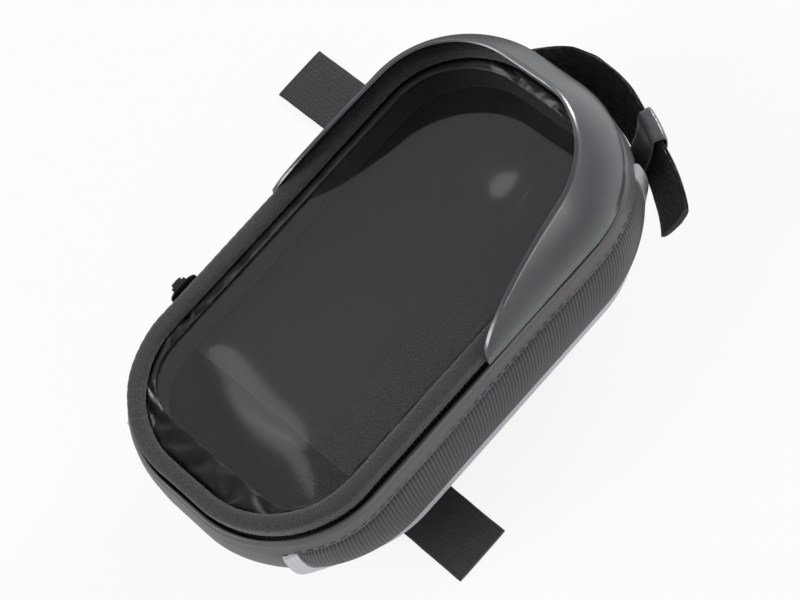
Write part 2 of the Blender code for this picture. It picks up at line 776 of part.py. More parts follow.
def make_tube_strap(name, centre_y, end_x):
    """A strap sewn under the far side of the base, whose free end lies out on the ground."""
    side = math.copysign(1.0, end_x)
    high = PAD_THICKNESS - STRAP_THICKNESS
    knots = [-STRAP_SEWN_X, 0.0, STRAP_DROP_START]
    knots += spread(STRAP_DROP_START, STRAP_DROP_END, 6)[1:]
    knots += spread(STRAP_DROP_END, abs(end_x), 3) + [abs(end_x)]
    rows = []
    for x in knots:
        drop = min(max((x - STRAP_DROP_START) / (STRAP_DROP_END - STRAP_DROP_START), 0.0), 1.0)
        z = high * (1 + math.cos(drop * math.pi)) / 2
        low_y = centre_y - STRAP_WIDTH / 2
        high_y = centre_y + STRAP_WIDTH / 2
        rows.append(
            [
                (side * x, low_y, z),
                (side * x, high_y, z),
                (side * x, high_y, z + STRAP_THICKNESS),
                (side * x, low_y, z + STRAP_THICKNESS),
            ]
        )
    return loft(name, rows, webbing())


def make_strap_bar(name, centre_x, centre_y):
    """A webbing loop sewn to the base at both ends, which holds the strap that passes over it."""
    inner = STRAP_WIDTH / 2 + GAP
    outer = inner + BAR_LEG
    section = [
        (-outer, 0.0),
        (outer, 0.0),
        (outer, PAD_THICKNESS),
        (inner, PAD_THICKNESS),
        (inner, BAR_THICKNESS),
        (-inner, BAR_THICKNESS),
        (-inner, PAD_THICKNESS),
        (-outer, PAD_THICKNESS),
    ]
    rows = []
    for x in (centre_x - BAR_WIDTH / 2, centre_x + BAR_WIDTH / 2):
        rows.append([(x, centre_y + y, z) for y, z in section])
    return loft(name, rows, webbing())


def make_strap_bars():
    for end, y in (("front", FRONT_STRAP_Y), ("rear", REAR_STRAP_Y)):
        for hand, x in (("left", -BAR_X), ("right", BAR_X)):
            make_strap_bar(f"strap_bar_{end}_{hand}", x, y)


def head_strap_path():
    """Centre line of the head tube strap: (run, distance from the wall, drop of its upper edge)."""
    sewn = BAND_BULGE + GAP + HEAD_STRAP_THICKNESS / 2
    held = sewn + KEEPER_THICKNESS + GAP
    bulge = HEAD_STRAP_BULGE
    free = HEAD_STRAP_START - HEAD_STRAP_SEWN
    grip = KEEPER_WIDTH / 2 + 0.5 * MM
    slack = free + KEEPER_RUN - grip
    marks = [(HEAD_STRAP_START, sewn, 0.0), (free, sewn, 0.0)]
    for share, sewn_share, bulge_share, held_share in (
        (0.14, 0.6, 0.4, 0.0),
        (0.27, 0.2, 0.8, 0.0),
        (0.49, 0.0, 1.0, 0.0),
        (0.70, 0.0, 0.9, 0.0),
        (0.84, 0.0, 0.7, 0.3),
    ):
        off = sewn * sewn_share + bulge * bulge_share + held * held_share
        marks.append((free - slack * share, off, 0.0))
    for run in (grip - KEEPER_RUN, -KEEPER_RUN, -KEEPER_RUN - grip):
        marks.append((run, held, 0.0))
    for share, lift, sag in ((0.31, 1.05, 0.3), (0.69, 1.2, 0.7), (1.0, 1.35, 1.0)):
        marks.append((-KEEPER_RUN - grip - HEAD_STRAP_TAIL * share, held * lift, sag))
    return [(QUARTER + m, off, HEAD_STRAP_TOP + sag * HEAD_STRAP_SAG) for m, off, sag in marks]


def upright_section(run, near, far, bottom, top):
    """A cross-section that follows the wall's curve between two heights, from near to far off the wall."""
    heights = [bottom, (bottom + top) / 2, top]
    inner = [wall_points([run], z, near)[0] for z in heights]
    outer = [wall_points([run], z, far)[0] for z in heights]
    return inner + outer[::-1]


def make_head_strap():
    half = HEAD_STRAP_THICKNESS / 2
    rows = []
    for run, off, drop in head_strap_path():
        top = ZIP_Z - drop
        rows.append(upright_section(run, off - half, off + half, top - HEAD_STRAP_WIDTH, top))
    return loft("head_strap", rows, webbing())


def make_strap_keeper():
    """A glossy loop sewn to the front wall, through which the head tube strap passes."""
    held = BAND_BULGE + 2 * GAP + KEEPER_THICKNESS + HEAD_STRAP_THICKNESS / 2
    centre = QUARTER - KEEPER_RUN
    top = ZIP_Z - HEAD_STRAP_TOP + GAP
    bottom = top - HEAD_STRAP_WIDTH - 2 * GAP
    near = BAND_BULGE + GAP
    far = held + HEAD_STRAP_THICKNESS / 2 + GAP + KEEPER_THICKNESS
    rows = []
    for wall, ends in ((0.0, (-1, 0, 1)), (KEEPER_THICKNESS, (1, 0, -1))):
        edge = KEEPER_THICKNESS - wall
        for end in ends:
            run = centre + end * KEEPER_WIDTH / 2
            rows.append(upright_section(run, near + wall, far - wall, bottom - edge, top + edge))
    return loft("strap_keeper", rows, gloss_pu(), closed=True)


def join_parts(target, others):
    """Unites pieces cast as one, with an exact Boolean for each."""
    for other in others:
        union = target.modifiers.new("union_" + other.name, "BOOLEAN")
        union.operation = "UNION"
        union.solver = "EXACT"
        union.object = other
        other.hide_render = True
        other.display_type = "WIRE"
    return target


def rounded_plate(half_y, half_z, corner, steps=4):
    """Outline of a plate in the YZ plane, about its own centre."""
    points = []
    for sign_y, sign_z, start in ((1, 1, 0), (-1, 1, 90), (-1, -1, 180), (1, -1, 270)):
        for i in range(steps + 1):
            angle = math.radians(start + 90 * i / steps)
            y = sign_y * (half_y - corner) + corner * math.cos(angle)
            z = sign_z * (half_z - corner) + corner * math.sin(angle)
            points.append((y, z))
    return points


def plate_between(name, low_x, high_x, shape, centre, material, origin=(0.0, 0.0, 0.0)):
    rows = [[(x, centre[0] + y, centre[1] + z) for y, z in shape] for x in (low_x, high_x)]
    return loft(name, rows, material, origin=origin)


def pin_x():
    """Distance of the pull's pin from the bag's middle plane."""
    face = WALL_HALF_WIDTH + BAND_BULGE + GAP + SLIDER_THICKNESS
    return face + GAP + PULL_WALL + PIN_RADIUS + GAP


def make_slider():
    """The zip's slider: a plate outside the groove, with its wedge between the two rows of teeth."""
    inside = WALL_HALF_WIDTH + BAND_BULGE + GAP
    outside = inside + SLIDER_THICKNESS
    centre = (SLIDER_Y, ZIP_Z)
    origin = (-inside, SLIDER_Y, ZIP_Z)
    shape = rounded_plate(SLIDER_LENGTH / 2, SLIDER_HEIGHT / 2, SLIDER_CORNER)
    slider = plate_between("zip_slider", -outside, -inside, shape, centre, zip_metal(), origin)
    reach = LID_HALF_WIDTH - CHAIN_INSET - CHAIN_WIDTH / 2
    wedge = rounded_plate(SLIDER_LENGTH * 0.3, SLIDER_TONGUE / 2, SLIDER_TONGUE * 0.3, 2)
    parts = [plate_between("slider_wedge", -inside - 0.5 * MM, -reach, wedge, centre, zip_metal())]
    pin_z = ZIP_Z - SLIDER_HEIGHT * 0.1
    lug = rounded_plate(LUG_THICKNESS / 2, LUG_HEIGHT / 2, 0.2 * MM, 1)
    for side in (-1, 1):
        y = SLIDER_Y + side * (PULL_WIDTH / 2 + GAP + LUG_THICKNESS / 2)
        lug_end = -(pin_x() + PIN_RADIUS + 0.5 * MM)
        name = f"slider_lug_{side + 1}"
        parts.append(plate_between(name, lug_end, -outside + 0.5 * MM, lug, (y, pin_z), zip_metal()))
    rows = []
    pin_half = PULL_WIDTH / 2 + GAP + LUG_THICKNESS / 2
    for y in (SLIDER_Y - pin_half, SLIDER_Y + pin_half):
        row = []
        for i in range(8):
            angle = 2 * math.pi * i / 8
            row.append((-pin_x() + PIN_RADIUS * math.cos(angle), y, pin_z + PIN_RADIUS * math.sin(angle)))
        rows.append(row)
    parts.append(loft("slider_pin", rows, zip_metal()))
    return join_parts(slider, parts)


def make_pull():
    """The pull tab, whose eye turns on the slider's pin. Its section is the same all across."""
    pin_z = ZIP_Z - SLIDER_HEIGHT * 0.1
    hole = PIN_RADIUS + GAP
    rim = hole + PULL_WALL
    half = PULL_THICKNESS / 2
    meet = math.asin(half / rim)
    steps = 12
    rounds = [-math.pi / 2 + meet + (2 * math.pi - 2 * meet) * i / steps for i in range(steps + 1)]
    outer = [(rim * math.cos(a), rim * math.sin(a)) for a in rounds]
    tail = [(-half, -PULL_LENGTH), (half, -PULL_LENGTH)]
    points = []
    for y in (SLIDER_Y - PULL_WIDTH / 2, SLIDER_Y + PULL_WIDTH / 2):
        points.append([(-pin_x() + x, y, pin_z + z) for x, z in outer + tail])
    origin = (-pin_x(), SLIDER_Y, pin_z)
    pull = loft("zip_pull", points, grip_rubber(), origin=origin)
    rows = []
    for y in (SLIDER_Y - PULL_WIDTH, SLIDER_Y + PULL_WIDTH):
        row = []
        for i in range(12):
            angle = 2 * math.pi * i / 12
            row.append((-pin_x() + hole * math.cos(angle), y, pin_z + hole * math.sin(angle)))
        rows.append(row)
    drill = loft("pull_eye_cutter", rows, grip_rubber())
    drill.hide_render = True
    drill.display_type = "WIRE"
    eye = pull.modifiers.new("eye", "BOOLEAN")
    eye.operation = "DIFFERENCE"
    eye.solver = "EXACT"
    eye.object = drill
    return pull


def build():
    clear_scene()
    make_body_shell()
    make_outer_skin()
    make_upper_band()
    for side, hand in ((1, "right"), (-1, "left")):
        make_side_panel(f"side_panel_{hand}", side)
        make_piping(f"piping_{hand}", side)
    make_lining_pad()
    make_zip()
    make_hinge_strip()
    make_lid_roll()
    make_lid_border()
    make_window_film()
    make_foam_frame()
    make_pocket()
    make_visor()
    make_grip_pads()
    make_tube_strap("front_tube_strap", FRONT_STRAP_Y, FRONT_STRAP_END_X)
    make_tube_strap("rear_tube_strap", REAR_STRAP_Y, REAR_STRAP_END_X)
    make_strap_bars()
    make_head_strap()
    make_strap_keeper()
    make_slider()
    make_pull()


build()
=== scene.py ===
"""Top tube phone bag: the looks that go round its CAD frame.

The sections follow the bag as it is sewn together, from the moulded tub up to the visor and the zip's slider.
"""

import math

import bmesh
import bpy
import numpy as np
from mathutils import Matrix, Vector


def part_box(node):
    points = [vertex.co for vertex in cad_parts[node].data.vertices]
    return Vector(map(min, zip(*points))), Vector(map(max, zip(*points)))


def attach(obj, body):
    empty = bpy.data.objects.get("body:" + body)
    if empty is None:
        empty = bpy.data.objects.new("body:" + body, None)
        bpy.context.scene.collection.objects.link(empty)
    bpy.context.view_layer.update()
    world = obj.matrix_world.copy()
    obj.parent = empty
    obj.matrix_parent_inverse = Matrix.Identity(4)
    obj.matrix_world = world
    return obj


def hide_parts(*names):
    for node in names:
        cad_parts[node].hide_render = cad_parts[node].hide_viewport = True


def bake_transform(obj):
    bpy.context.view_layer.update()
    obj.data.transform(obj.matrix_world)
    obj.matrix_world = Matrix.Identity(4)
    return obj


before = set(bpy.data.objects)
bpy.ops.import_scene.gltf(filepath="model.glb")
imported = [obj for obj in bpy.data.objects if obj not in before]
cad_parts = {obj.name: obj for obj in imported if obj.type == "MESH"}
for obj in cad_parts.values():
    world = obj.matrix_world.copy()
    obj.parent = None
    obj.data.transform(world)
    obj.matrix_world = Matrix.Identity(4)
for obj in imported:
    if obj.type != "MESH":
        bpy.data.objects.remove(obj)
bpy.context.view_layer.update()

# Camera, floor and light
# A long lens looks down on the bag from its right rear corner. The floor is white paper and a white sweep stands
# round it under a dim ceiling. Soft lamps stand in front, behind and to the right, with three slits overhead. In
# gloss the paper is painted darker away from the bag and at its front left, as if a studio's black cards stood
# there: painted shade that only reflections show.

scene = bpy.context.scene
scene.view_settings.view_transform = "Standard"


def set_up(thing, place, right, up, back):
    """Puts a camera or lamp in its place, its own three axes turned to these directions."""
    turned = Matrix(np.column_stack([right, up, back]).tolist()).to_4x4()
    turned.translation = place.tolist()
    thing.matrix_world = turned
    scene.collection.objects.link(thing)


camera_data = bpy.data.cameras.new("camera")
camera_data.lens = 108
camera_data.clip_start = 0.01
camera = bpy.data.objects.new("camera", camera_data)
lid_middle = np.array([0.0, 0.0, 0.057])
view_right = np.array([0.70889, 0.66408, -0.23755])
view_up = np.array([-0.55747, 0.73395, 0.38806])
view_back = np.array([0.43208, -0.14268, 0.89053])
view_from = lid_middle + 0.6873 * view_back + 0.006982 * view_right - 0.004327 * view_up
set_up(camera, view_from, view_right, view_up, view_back)
scene.camera = camera


def unit(vectors):
    """Vectors scaled to a length of 1."""
    return vectors / np.linalg.norm(vectors, axis=-1, keepdims=True)


def lamp(name, place, aim, size, power):
    """An oval lamp at a place, facing what it is aimed at."""
    data = bpy.data.lights.new(name, "AREA")
    data.shape = "ELLIPSE"
    data.size, data.size_y = size
    data.energy = power
    back = unit(np.subtract(place, aim))
    right = unit(np.cross([0.0, 0.0, 1.0], back))
    set_up(bpy.data.objects.new(name, data), np.array(place), right, np.cross(back, right), back)


lamp("front_lamp", (-0.02, 0.95, 0.40), (0.0, 0.05, 0.05), (0.3, 0.2), 6.5)
lamp("rear_lamp", (-0.30, -0.75, 0.65), (0.0, 0.0, 0.04), (0.5, 0.5), 5.0)
lamp("side_lamp", (0.95, 0.10, 0.28), (0.0, 0.0, 0.04), (0.5, 0.3), 1.3)
lamp("slit_lamp_rear", (-0.347, -0.013, 0.726), (-0.006, -0.057, 0.059), (0.022, 0.13), 0.006)
lamp("slit_lamp_right", (-0.295, -0.032, 0.735), (0.015, -0.066, 0.059), (0.014, 0.12), 0.0035)
lamp("slit_lamp_front", (-0.313, 0.218, 0.717), (0.008, 0.054, 0.059), (0.03, 0.02), 0.0016)


def linear(code):
    """An sRGB hex colour as a linear one with full alpha."""
    channels = np.array([int(code[i : i + 2], 16) for i in (1, 3, 5)]) / 255
    low = channels / 12.92
    high = ((channels + 0.055) / 1.055) ** 2.4
    return (*np.where(channels <= 0.04045, low, high).tolist(), 1.0)


def wire(node, inputs):
    """Gives a node's inputs hex colours or other values, or links them to sockets or nodes."""
    for key, value in inputs.items():
        if isinstance(value, bpy.types.Node):
            value = next(output for output in value.outputs if output.enabled)
        if isinstance(value, bpy.types.NodeSocket):
            node.id_data.links.new(value, node.inputs[key])
        else:
            node.inputs[key].default_value = linear(value) if isinstance(value, str) else value


def add(tree, kind, inputs, **settings):
    """Adds one node, makes its own settings and wires its inputs."""
    node = tree.nodes.new("ShaderNode" + kind)
    for key, value in settings.items():
        setattr(node, key, value)
    wire(node, inputs)
    return node


AMBIENT = 0.36
CEILING = 0.12

world = bpy.data.worlds.new("white_room")
scene.world = world
world.use_nodes = True
room = world.node_tree
room.nodes.clear()
ray = add(room, "LightPath", {}).outputs
glossy, camera_ray = ray["Is Glossy Ray"], ray["Is Camera Ray"]
way = add(room, "TexCoord", {}).outputs["Generated"]
upward = add(room, "SeparateXYZ", {"Vector": way}).outputs["Z"]
sweep = add(room, "MapRange", {"Value": upward, "From Min": 0.2, "From Max": 0.7, "To Min": 1.0, "To Max": 0.0})
shown = add(room, "Math", {0: glossy, 1: sweep}, operation="MULTIPLY")
clear = add(room, "Math", {0: camera_ray, 1: ray["Is Transmission Ray"]}, operation="MAXIMUM")
seen = add(room, "Math", {0: shown, 1: clear}, operation="MAXIMUM")
dim = add(room, "Math", {0: glossy, 1: CEILING - AMBIENT, 2: AMBIENT}, operation="MULTIPLY_ADD")
soft = add(room, "Background", {"Color": "#ffffff", "Strength": dim})
bright = add(room, "Background", {"Color": "#ffffff", "Strength": 1.0})
both = add(room, "MixShader", {0: seen, 1: soft, 2: bright})
add(room, "OutputWorld", {"Surface": both})

floor_mesh = bpy.data.meshes.new("floor")
floor_mesh.from_pydata([(-4, -4, 0), (4, -4, 0), (4, 4, 0), (-4, 4, 0)], [], [(0, 1, 2, 3)])
floor = bpy.data.objects.new("floor", floor_mesh)
scene.collection.objects.link(floor)


def new_material(name, code, roughness, uv=True):
    """A material, its nodes, its shader and what its patterns lie on: the piece's own UV map, or its space."""
    material = bpy.data.materials.new(name)
    material.use_nodes = True
    tree = material.node_tree
    shader = tree.nodes["Principled BSDF"]
    wire(shader, {"Base Color": code, "Roughness": roughness})
    if uv:
        return material, tree, shader, add(tree, "UVMap", {}, uv_map="cloth")
    return material, tree, shader, add(tree, "TexCoord", {}).outputs["Object"]


# White paper: matt, and lifted near to white where the camera sees it without losing the shadow.
paper, tree, shader, spot = new_material("white_paper", "#f4f4f4", 0.9, uv=False)
# Painted shade in reflections: glossy rays see the paper darker from 0.16 to 0.42 m out from the bag, and near a
# spot at its front left.
from_bag = add(tree, "VectorMath", {0: spot}, operation="LENGTH")
far = add(tree, "MapRange", {"Value": from_bag, "From Min": 0.16, "From Max": 0.42})
from_left = add(tree, "VectorMath", {0: spot, 1: (-0.11, 0.085, 0.0)}, operation="DISTANCE")
left = add(tree, "MapRange", {"Value": from_left, "From Min": 0.13, "From Max": 0.06})
grey = add(tree, "Math", {0: far, 1: left}, operation="MAXIMUM")
ray = add(tree, "LightPath", {}).outputs
painted_gloss_shade = add(tree, "Math", {0: grey, 1: ray["Is Glossy Ray"]}, operation="MULTIPLY")
shade = add(tree, "Mix", {"Factor": painted_gloss_shade, "A": "#f4f4f4", "B": "#505050"}, data_type="RGBA")
wire(shader, {"Base Color": shade})
share = add(tree, "Math", {0: ray["Is Camera Ray"], 1: 0.88}, operation="MULTIPLY")
glow = add(tree, "Emission", {"Color": "#ffffff", "Strength": 1.0})
mixed = add(tree, "MixShader", {0: share, 1: shader, 2: glow})
wire(tree.nodes["Material Output"], {"Surface": mixed})
floor_mesh.materials.append(paper)

# Moulded tub
# The tub is one piece of pressed EVA foam lined with black knitted cloth. Its floor is flat, its wall leans out
# and swells halfway up, and its plan is a rectangle with wide round corners.

HALF_WIDTH = 0.0439
HALF_LENGTH = 0.0827
CORNER = 0.0358
FLOOR_Z = 0.003
FOOT_Z = 0.011
SHOULDER_Z = 0.054
ZIP_Z = 0.057
FOOT_TUCK = 0.005
SWELL = 0.0034
SIDE_TAPER = 0.006
FRONT_TAPER = 0.005
REAR_TAPER = 0.012
SIDE = HALF_LENGTH - CORNER
ARC = CORNER * math.pi / 2
END = HALF_WIDTH - CORNER
QUARTER = SIDE + ARC + END
AROUND = 4 * QUARTER


def places(run):
    """Where a run round the bag falls on its outline, from the middle of the right side round by the front.

    The first two are the corner centre's shares of the half width and half length, and the others the
    outward normal: straight stretches slide the centre, and corners turn the normal.
    """
    run = (np.asarray(run, float) + AROUND / 2) % AROUND - AROUND / 2
    front = np.where(run < 0, -1.0, 1.0)
    along = np.abs(run)
    hand = np.where(along > QUARTER, -1.0, 1.0)
    along = np.where(along > QUARTER, 2 * QUARTER - along, along)
    share_x = np.where(along > SIDE + ARC, 1 - (along - SIDE - ARC) / END, 1.0)
    share_y = np.minimum(along / SIDE, 1.0)
    turned = np.clip((along - SIDE) / CORNER, 0, math.pi / 2)
    return hand * share_x, front * share_y, hand * np.cos(turned), front * np.sin(turned)


def to_points(x, y, z):
    """Points whose coordinates are spread to one grid."""
    return np.stack(np.broadcast_arrays(x, y, z), -1)


def rounded(run, half_width, half_length, corner, z):
    """Rounded rectangle: the corner centre plus the corner radius along the normal."""
    share_x, share_y, normal_x, normal_y = places(run)
    x = share_x * (half_width - corner) + corner * normal_x
    y = share_y * (half_length - corner) + corner * normal_y
    return to_points(x, y, z)


def wall(run, z, proud=0.0):
    """The tub's wall. Above the foot the half sizes grow by a sine up to the shoulder, plus a swell of half a
    sine. Below it that slope runs on, less a quarter ellipse. Proud is the distance outside the skin."""
    run, z, proud = np.broadcast_arrays(np.asarray(run, float), z, proud)
    rise = np.minimum((z - FOOT_Z) / (SHOULDER_Z - FOOT_Z), 1.0)
    upper = rise >= 0
    taper = np.where(upper, 1 - np.sin(rise * math.pi / 2), 1 - rise * math.pi / 2)
    swell = SWELL * np.where(upper, np.sin(rise * math.pi), rise * math.pi)
    drop = np.clip((FOOT_Z - z) / (FOOT_Z - FLOOR_Z + proud), 0, 1)
    foot = np.where(upper, -proud, FOOT_TUCK - (FOOT_TUCK + proud) * np.sqrt(1 - drop**2))
    tuck = foot - swell
    end_taper = np.where(places(run)[1] > 0, FRONT_TAPER, REAR_TAPER)
    half_width = HALF_WIDTH - SIDE_TAPER * taper - tuck
    half_length = HALF_LENGTH - end_taper * taper - tuck
    return rounded(run, half_width, half_length, CORNER - tuck, z)


def outward(name, mesh):
    """A new object from a mesh, whose faces are turned outwards and shaded smooth."""
    shape = bmesh.new()
    shape.from_mesh(mesh)
    bmesh.ops.recalc_face_normals(shape, faces=shape.faces)
    shape.to_mesh(mesh)
    shape.free()
    mesh.shade_smooth()
    piece = bpy.data.objects.new(name, mesh)
    scene.collection.objects.link(piece)
    return piece


def surface(name, points, ends="capped"):
    """A mesh through a grid of points, with UVs in metres. Columns close round the piece and rows run along it,
    with its two ends capped, joined to each other, or left open."""
    rows, columns = points.shape[:2]
    row, column = np.meshgrid(np.arange(rows - (ends != "joined")), np.arange(columns), indexing="ij")
    row, column = row.ravel(), column.ravel()
    next_row, next_column = (row + 1) % rows, (column + 1) % columns
    here, ahead = row * columns, next_row * columns
    faces = np.stack([here + column, here + next_column, ahead + next_column, ahead + column], -1).tolist()
    if ends == "capped":
        faces += [list(range(columns))[::-1], list(range((rows - 1) * columns, rows * columns))]
    mesh = bpy.data.meshes.new(name)
    mesh.from_pydata(points.reshape(-1, 3).tolist(), [], faces)
    wide = np.linalg.norm(np.roll(points, -1, 1) - points, axis=2).mean(0)
    long = np.linalg.norm(np.roll(points, -1, 0) - points, axis=2).mean(1)
    u = np.concatenate([[0], np.cumsum(wide)])
    v = np.concatenate([[0], np.cumsum(long)])
    corners = np.zeros((len(mesh.loops), 2))
    corners[: 4 * len(row), 0] = np.stack([u[column], u[column + 1], u[column + 1], u[column]], -1).ravel()
    corners[: 4 * len(row), 1] = np.stack([v[row], v[row], v[row + 1], v[row + 1]], -1).ravel()
    mesh.uv_layers.new(name="cloth").data.foreach_set("uv", corners.ravel())
    piece = outward(name, mesh)
    mesh.set_sharp_from_angle(angle=math.radians(50))
    return piece


def fit(piece, material, body, slot, *nodes):
    """Gives a finished piece its material, the body it moves with and the solids it stands for."""
    piece.data.materials.append(material)
    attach(piece, body)
    if nodes:
        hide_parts(*nodes)
    return piece


def soft_waves(x, y, size, seed):
    """Gentle uneven waves between about -1 and 1: a mean of sines in fixed odd directions."""
    odd = np.random.default_rng(seed)
    total = 0.0
    for length, turn, start in zip(odd.uniform(1, 2.6, 9), odd.uniform(0, math.pi, 9), odd.uniform(0, 6.3, 9)):
        total = total + np.sin(2 * math.pi * (x * math.cos(turn) + y * math.sin(turn)) / (size * length) + start)
    return total / 4


def ring(count=360):
    """Runs that go once round the bag."""
    return np.linspace(-AROUND / 2, AROUND / 2, count, endpoint=False)


# Knitted polyester lining: matt black, its loops drawn 1.2 mm apart so that they show through the window.
lining, tree, shader, cloth = new_material("knitted_lining", "#1b1b1d", 0.9)
loops = add(tree, "TexVoronoi", {"Vector": cloth, "Scale": 800, "Randomness": 0.2})
shade = add(tree, "Mix", {"Factor": loops, "A": "#1b1b1d", "B": "#111113"}, data_type="RGBA")
bump = add(tree, "Bump", {"Strength": 0.08, "Distance": 0.0002, "Height": loops})
wire(shader, {"Base Color": shade, "Normal": bump, "Sheen Weight": 0.12})

UNDER_SKIN = 0.0013
FOAM = 0.003

run = ring(300)
foot_share = 1 - np.cos(np.linspace(0, math.pi / 2, 8))
faces = []
for inside in (UNDER_SKIN, UNDER_SKIN + FOAM):
    low_z = FLOOR_Z + inside
    z = np.concatenate([low_z + (FOOT_Z - low_z) * foot_share, np.linspace(0.0135, 0.0545, 14)])
    faces.append(wall(run[None, :], z[:, None], -inside))
tub_rows = np.concatenate([faces[0], wall(run[None, :], 0.0549, -UNDER_SKIN - FOAM / 2), faces[1][::-1]])
tub = fit(surface("tub_lining", tub_rows), lining, "tub", "foam", "body_shell")

# The loose pad on the floor: 2 mm of foam between cloth, quilted in diamonds.
PAD_Z = 0.0086
DIAMOND = 0.014
inward = np.linspace(1, 0.03, 40)[:, None, None]
foot_line = wall(run, FOOT_Z, -0.0093)
plan = foot_line[None, :, :2] * inward
quilt = np.abs(np.sin(math.pi * (plan[..., 0] + plan[..., 1]) / DIAMOND))
quilt = quilt * np.abs(np.sin(math.pi * (plan[..., 0] - plan[..., 1]) / DIAMOND))
edge = np.sqrt(1 - (1 - np.minimum((1 - inward[..., 0]) * 12, 1)) ** 2)
top = PAD_Z + edge * (0.0007 + 0.0005 * quilt**0.4)
bottom = PAD_Z - edge * 0.0009
pad_rows = np.concatenate([
    np.concatenate([plan, top[..., None]], 2)[::-1],
    np.concatenate([plan, np.broadcast_to(bottom, top.shape)[..., None]], 2)[1:],
])
floor_pad = fit(surface("floor_pad", pad_rows), lining, "tub", "foam", "lining_pad")

# Outer skin
# A calendered PU-coated fabric is pressed over the tub's base and ends in one piece. Along the sides it dips
# under the woven panels, and the reflective piping hides that step.

PANEL_HALF_RUN = 0.074
PANEL_CORNER = 0.013
PANEL_LOW = 0.0185
PANEL_TOP = 0.0498
DIP_EDGE = 0.0029
DIP = 0.0008


def from_side(run):
    """How far a run lies from the middle of the nearer side."""
    return np.abs((run + QUARTER) % (2 * QUARTER) - QUARTER)


def beside_panel(run, z):
    """Distance outside the panel's outline, a rectangle open at the top whose lower corners are rounded."""
    x = from_side(run) - (PANEL_HALF_RUN - PANEL_CORNER)
    y = (PANEL_LOW + PANEL_CORNER) - z
    return np.hypot(np.maximum(x, 0), np.maximum(y, 0)) + np.minimum(np.maximum(x, y), 0) - PANEL_CORNER


def eased(share):
    """A share from 0 to 1 that starts and ends level: thrice its square less twice its cube."""
    return share * share * (3 - 2 * share)


# PU-coated fabric: satin grey, with a grain under half a millimetre and cloudy patches of shine.
smooth_pu, tree, shader, cloth = new_material("satin_pu_fabric", "#545255", 0.4)
cloud = add(tree, "TexNoise", {"Vector": cloth, "Scale": 70, "Detail": 4})
grain = add(tree, "TexVoronoi", {"Vector": cloth, "Scale": 2300})
shade = add(tree, "Mix", {"Factor": cloud, "A": "#4c4a4d", "B": "#626063"}, data_type="RGBA")
shine = add(tree, "MapRange", {"Value": cloud, "To Min": 0.36, "To Max": 0.5})
bump = add(tree, "Bump", {"Strength": 0.12, "Distance": 0.0002, "Height": grain})
wire(shader, {"Base Color": shade, "Roughness": shine, "Normal": bump, "Specular IOR Level": 0.8,
              "Specular Tint": "#fffdfd"})

run = ring(720)
skin_z = np.concatenate([FLOOR_Z + (FOOT_Z - FLOOR_Z) * foot_share, np.linspace(0.0125, PANEL_TOP, 44)])
grid_run, grid_z = np.meshgrid(run, skin_z)
dip = eased(np.clip((DIP_EDGE - beside_panel(grid_run, grid_z)) / DIP, 0, 1))
crumple = soft_waves(grid_run, grid_z, 0.020, 3) * np.clip((grid_z - FOOT_Z) / 0.01, 0, 1)
outside = wall(grid_run, grid_z, -DIP * dip + 0.00025 * crumple * (1 - dip))
inside = wall(grid_run, grid_z, -0.00105)[::-1]
inside[-1, :, 2] = FLOOR_Z + 0.0004
skin_rows = np.concatenate([outside, inside])
fit(surface("outer_skin_pu", skin_rows), smooth_pu, "tub", "smooth_pu", "outer_skin")

# Woven side panels
# Each long side carries a coated twill panel on thin foam, cut with rounded lower corners. Its ribs stand
# 1.2 mm apart and run almost straight up the wall.

# Coated twill: matt grey ribs over darker valleys, with a faint cross thread. At scale 1 the bands of a wave
# texture lie BAND_STEP apart.
BAND_STEP = 0.314
twill, tree, shader, cloth = new_material("coated_twill", "#3b3c40", 0.55)
ribs = add(tree, "TexWave", {"Vector": cloth, "Scale": BAND_STEP / 0.0012, "Distortion": 0.3},
           bands_direction="Y")
cross = add(tree, "TexWave", {"Vector": cloth, "Scale": BAND_STEP / 0.00042}, bands_direction="X")
cloud = add(tree, "TexNoise", {"Vector": cloth, "Scale": 110, "Detail": 3})
height = add(tree, "Math", {0: cross, 1: 0.25, 2: ribs}, operation="MULTIPLY_ADD")
shade = add(tree, "Mix", {"Factor": ribs, "A": "#17181b", "B": "#54555b"}, data_type="RGBA")
clouded = add(tree, "Mix", {"Factor": cloud, "A": "#d8d8dc", "B": "#ffffff"}, data_type="RGBA")
tinted = add(tree, "Mix", {"Factor": 1.0, "A": shade, "B": clouded}, data_type="RGBA", blend_type="MULTIPLY")
bump = add(tree, "Bump", {"Strength": 0.45, "Distance": 0.0003, "Height": height})
wire(shader, {"Base Color": tinted, "Normal": bump, "Sheen Weight": 0.15})

RIB_SLANT = 0.2
PANEL_EDGE = 0.0025


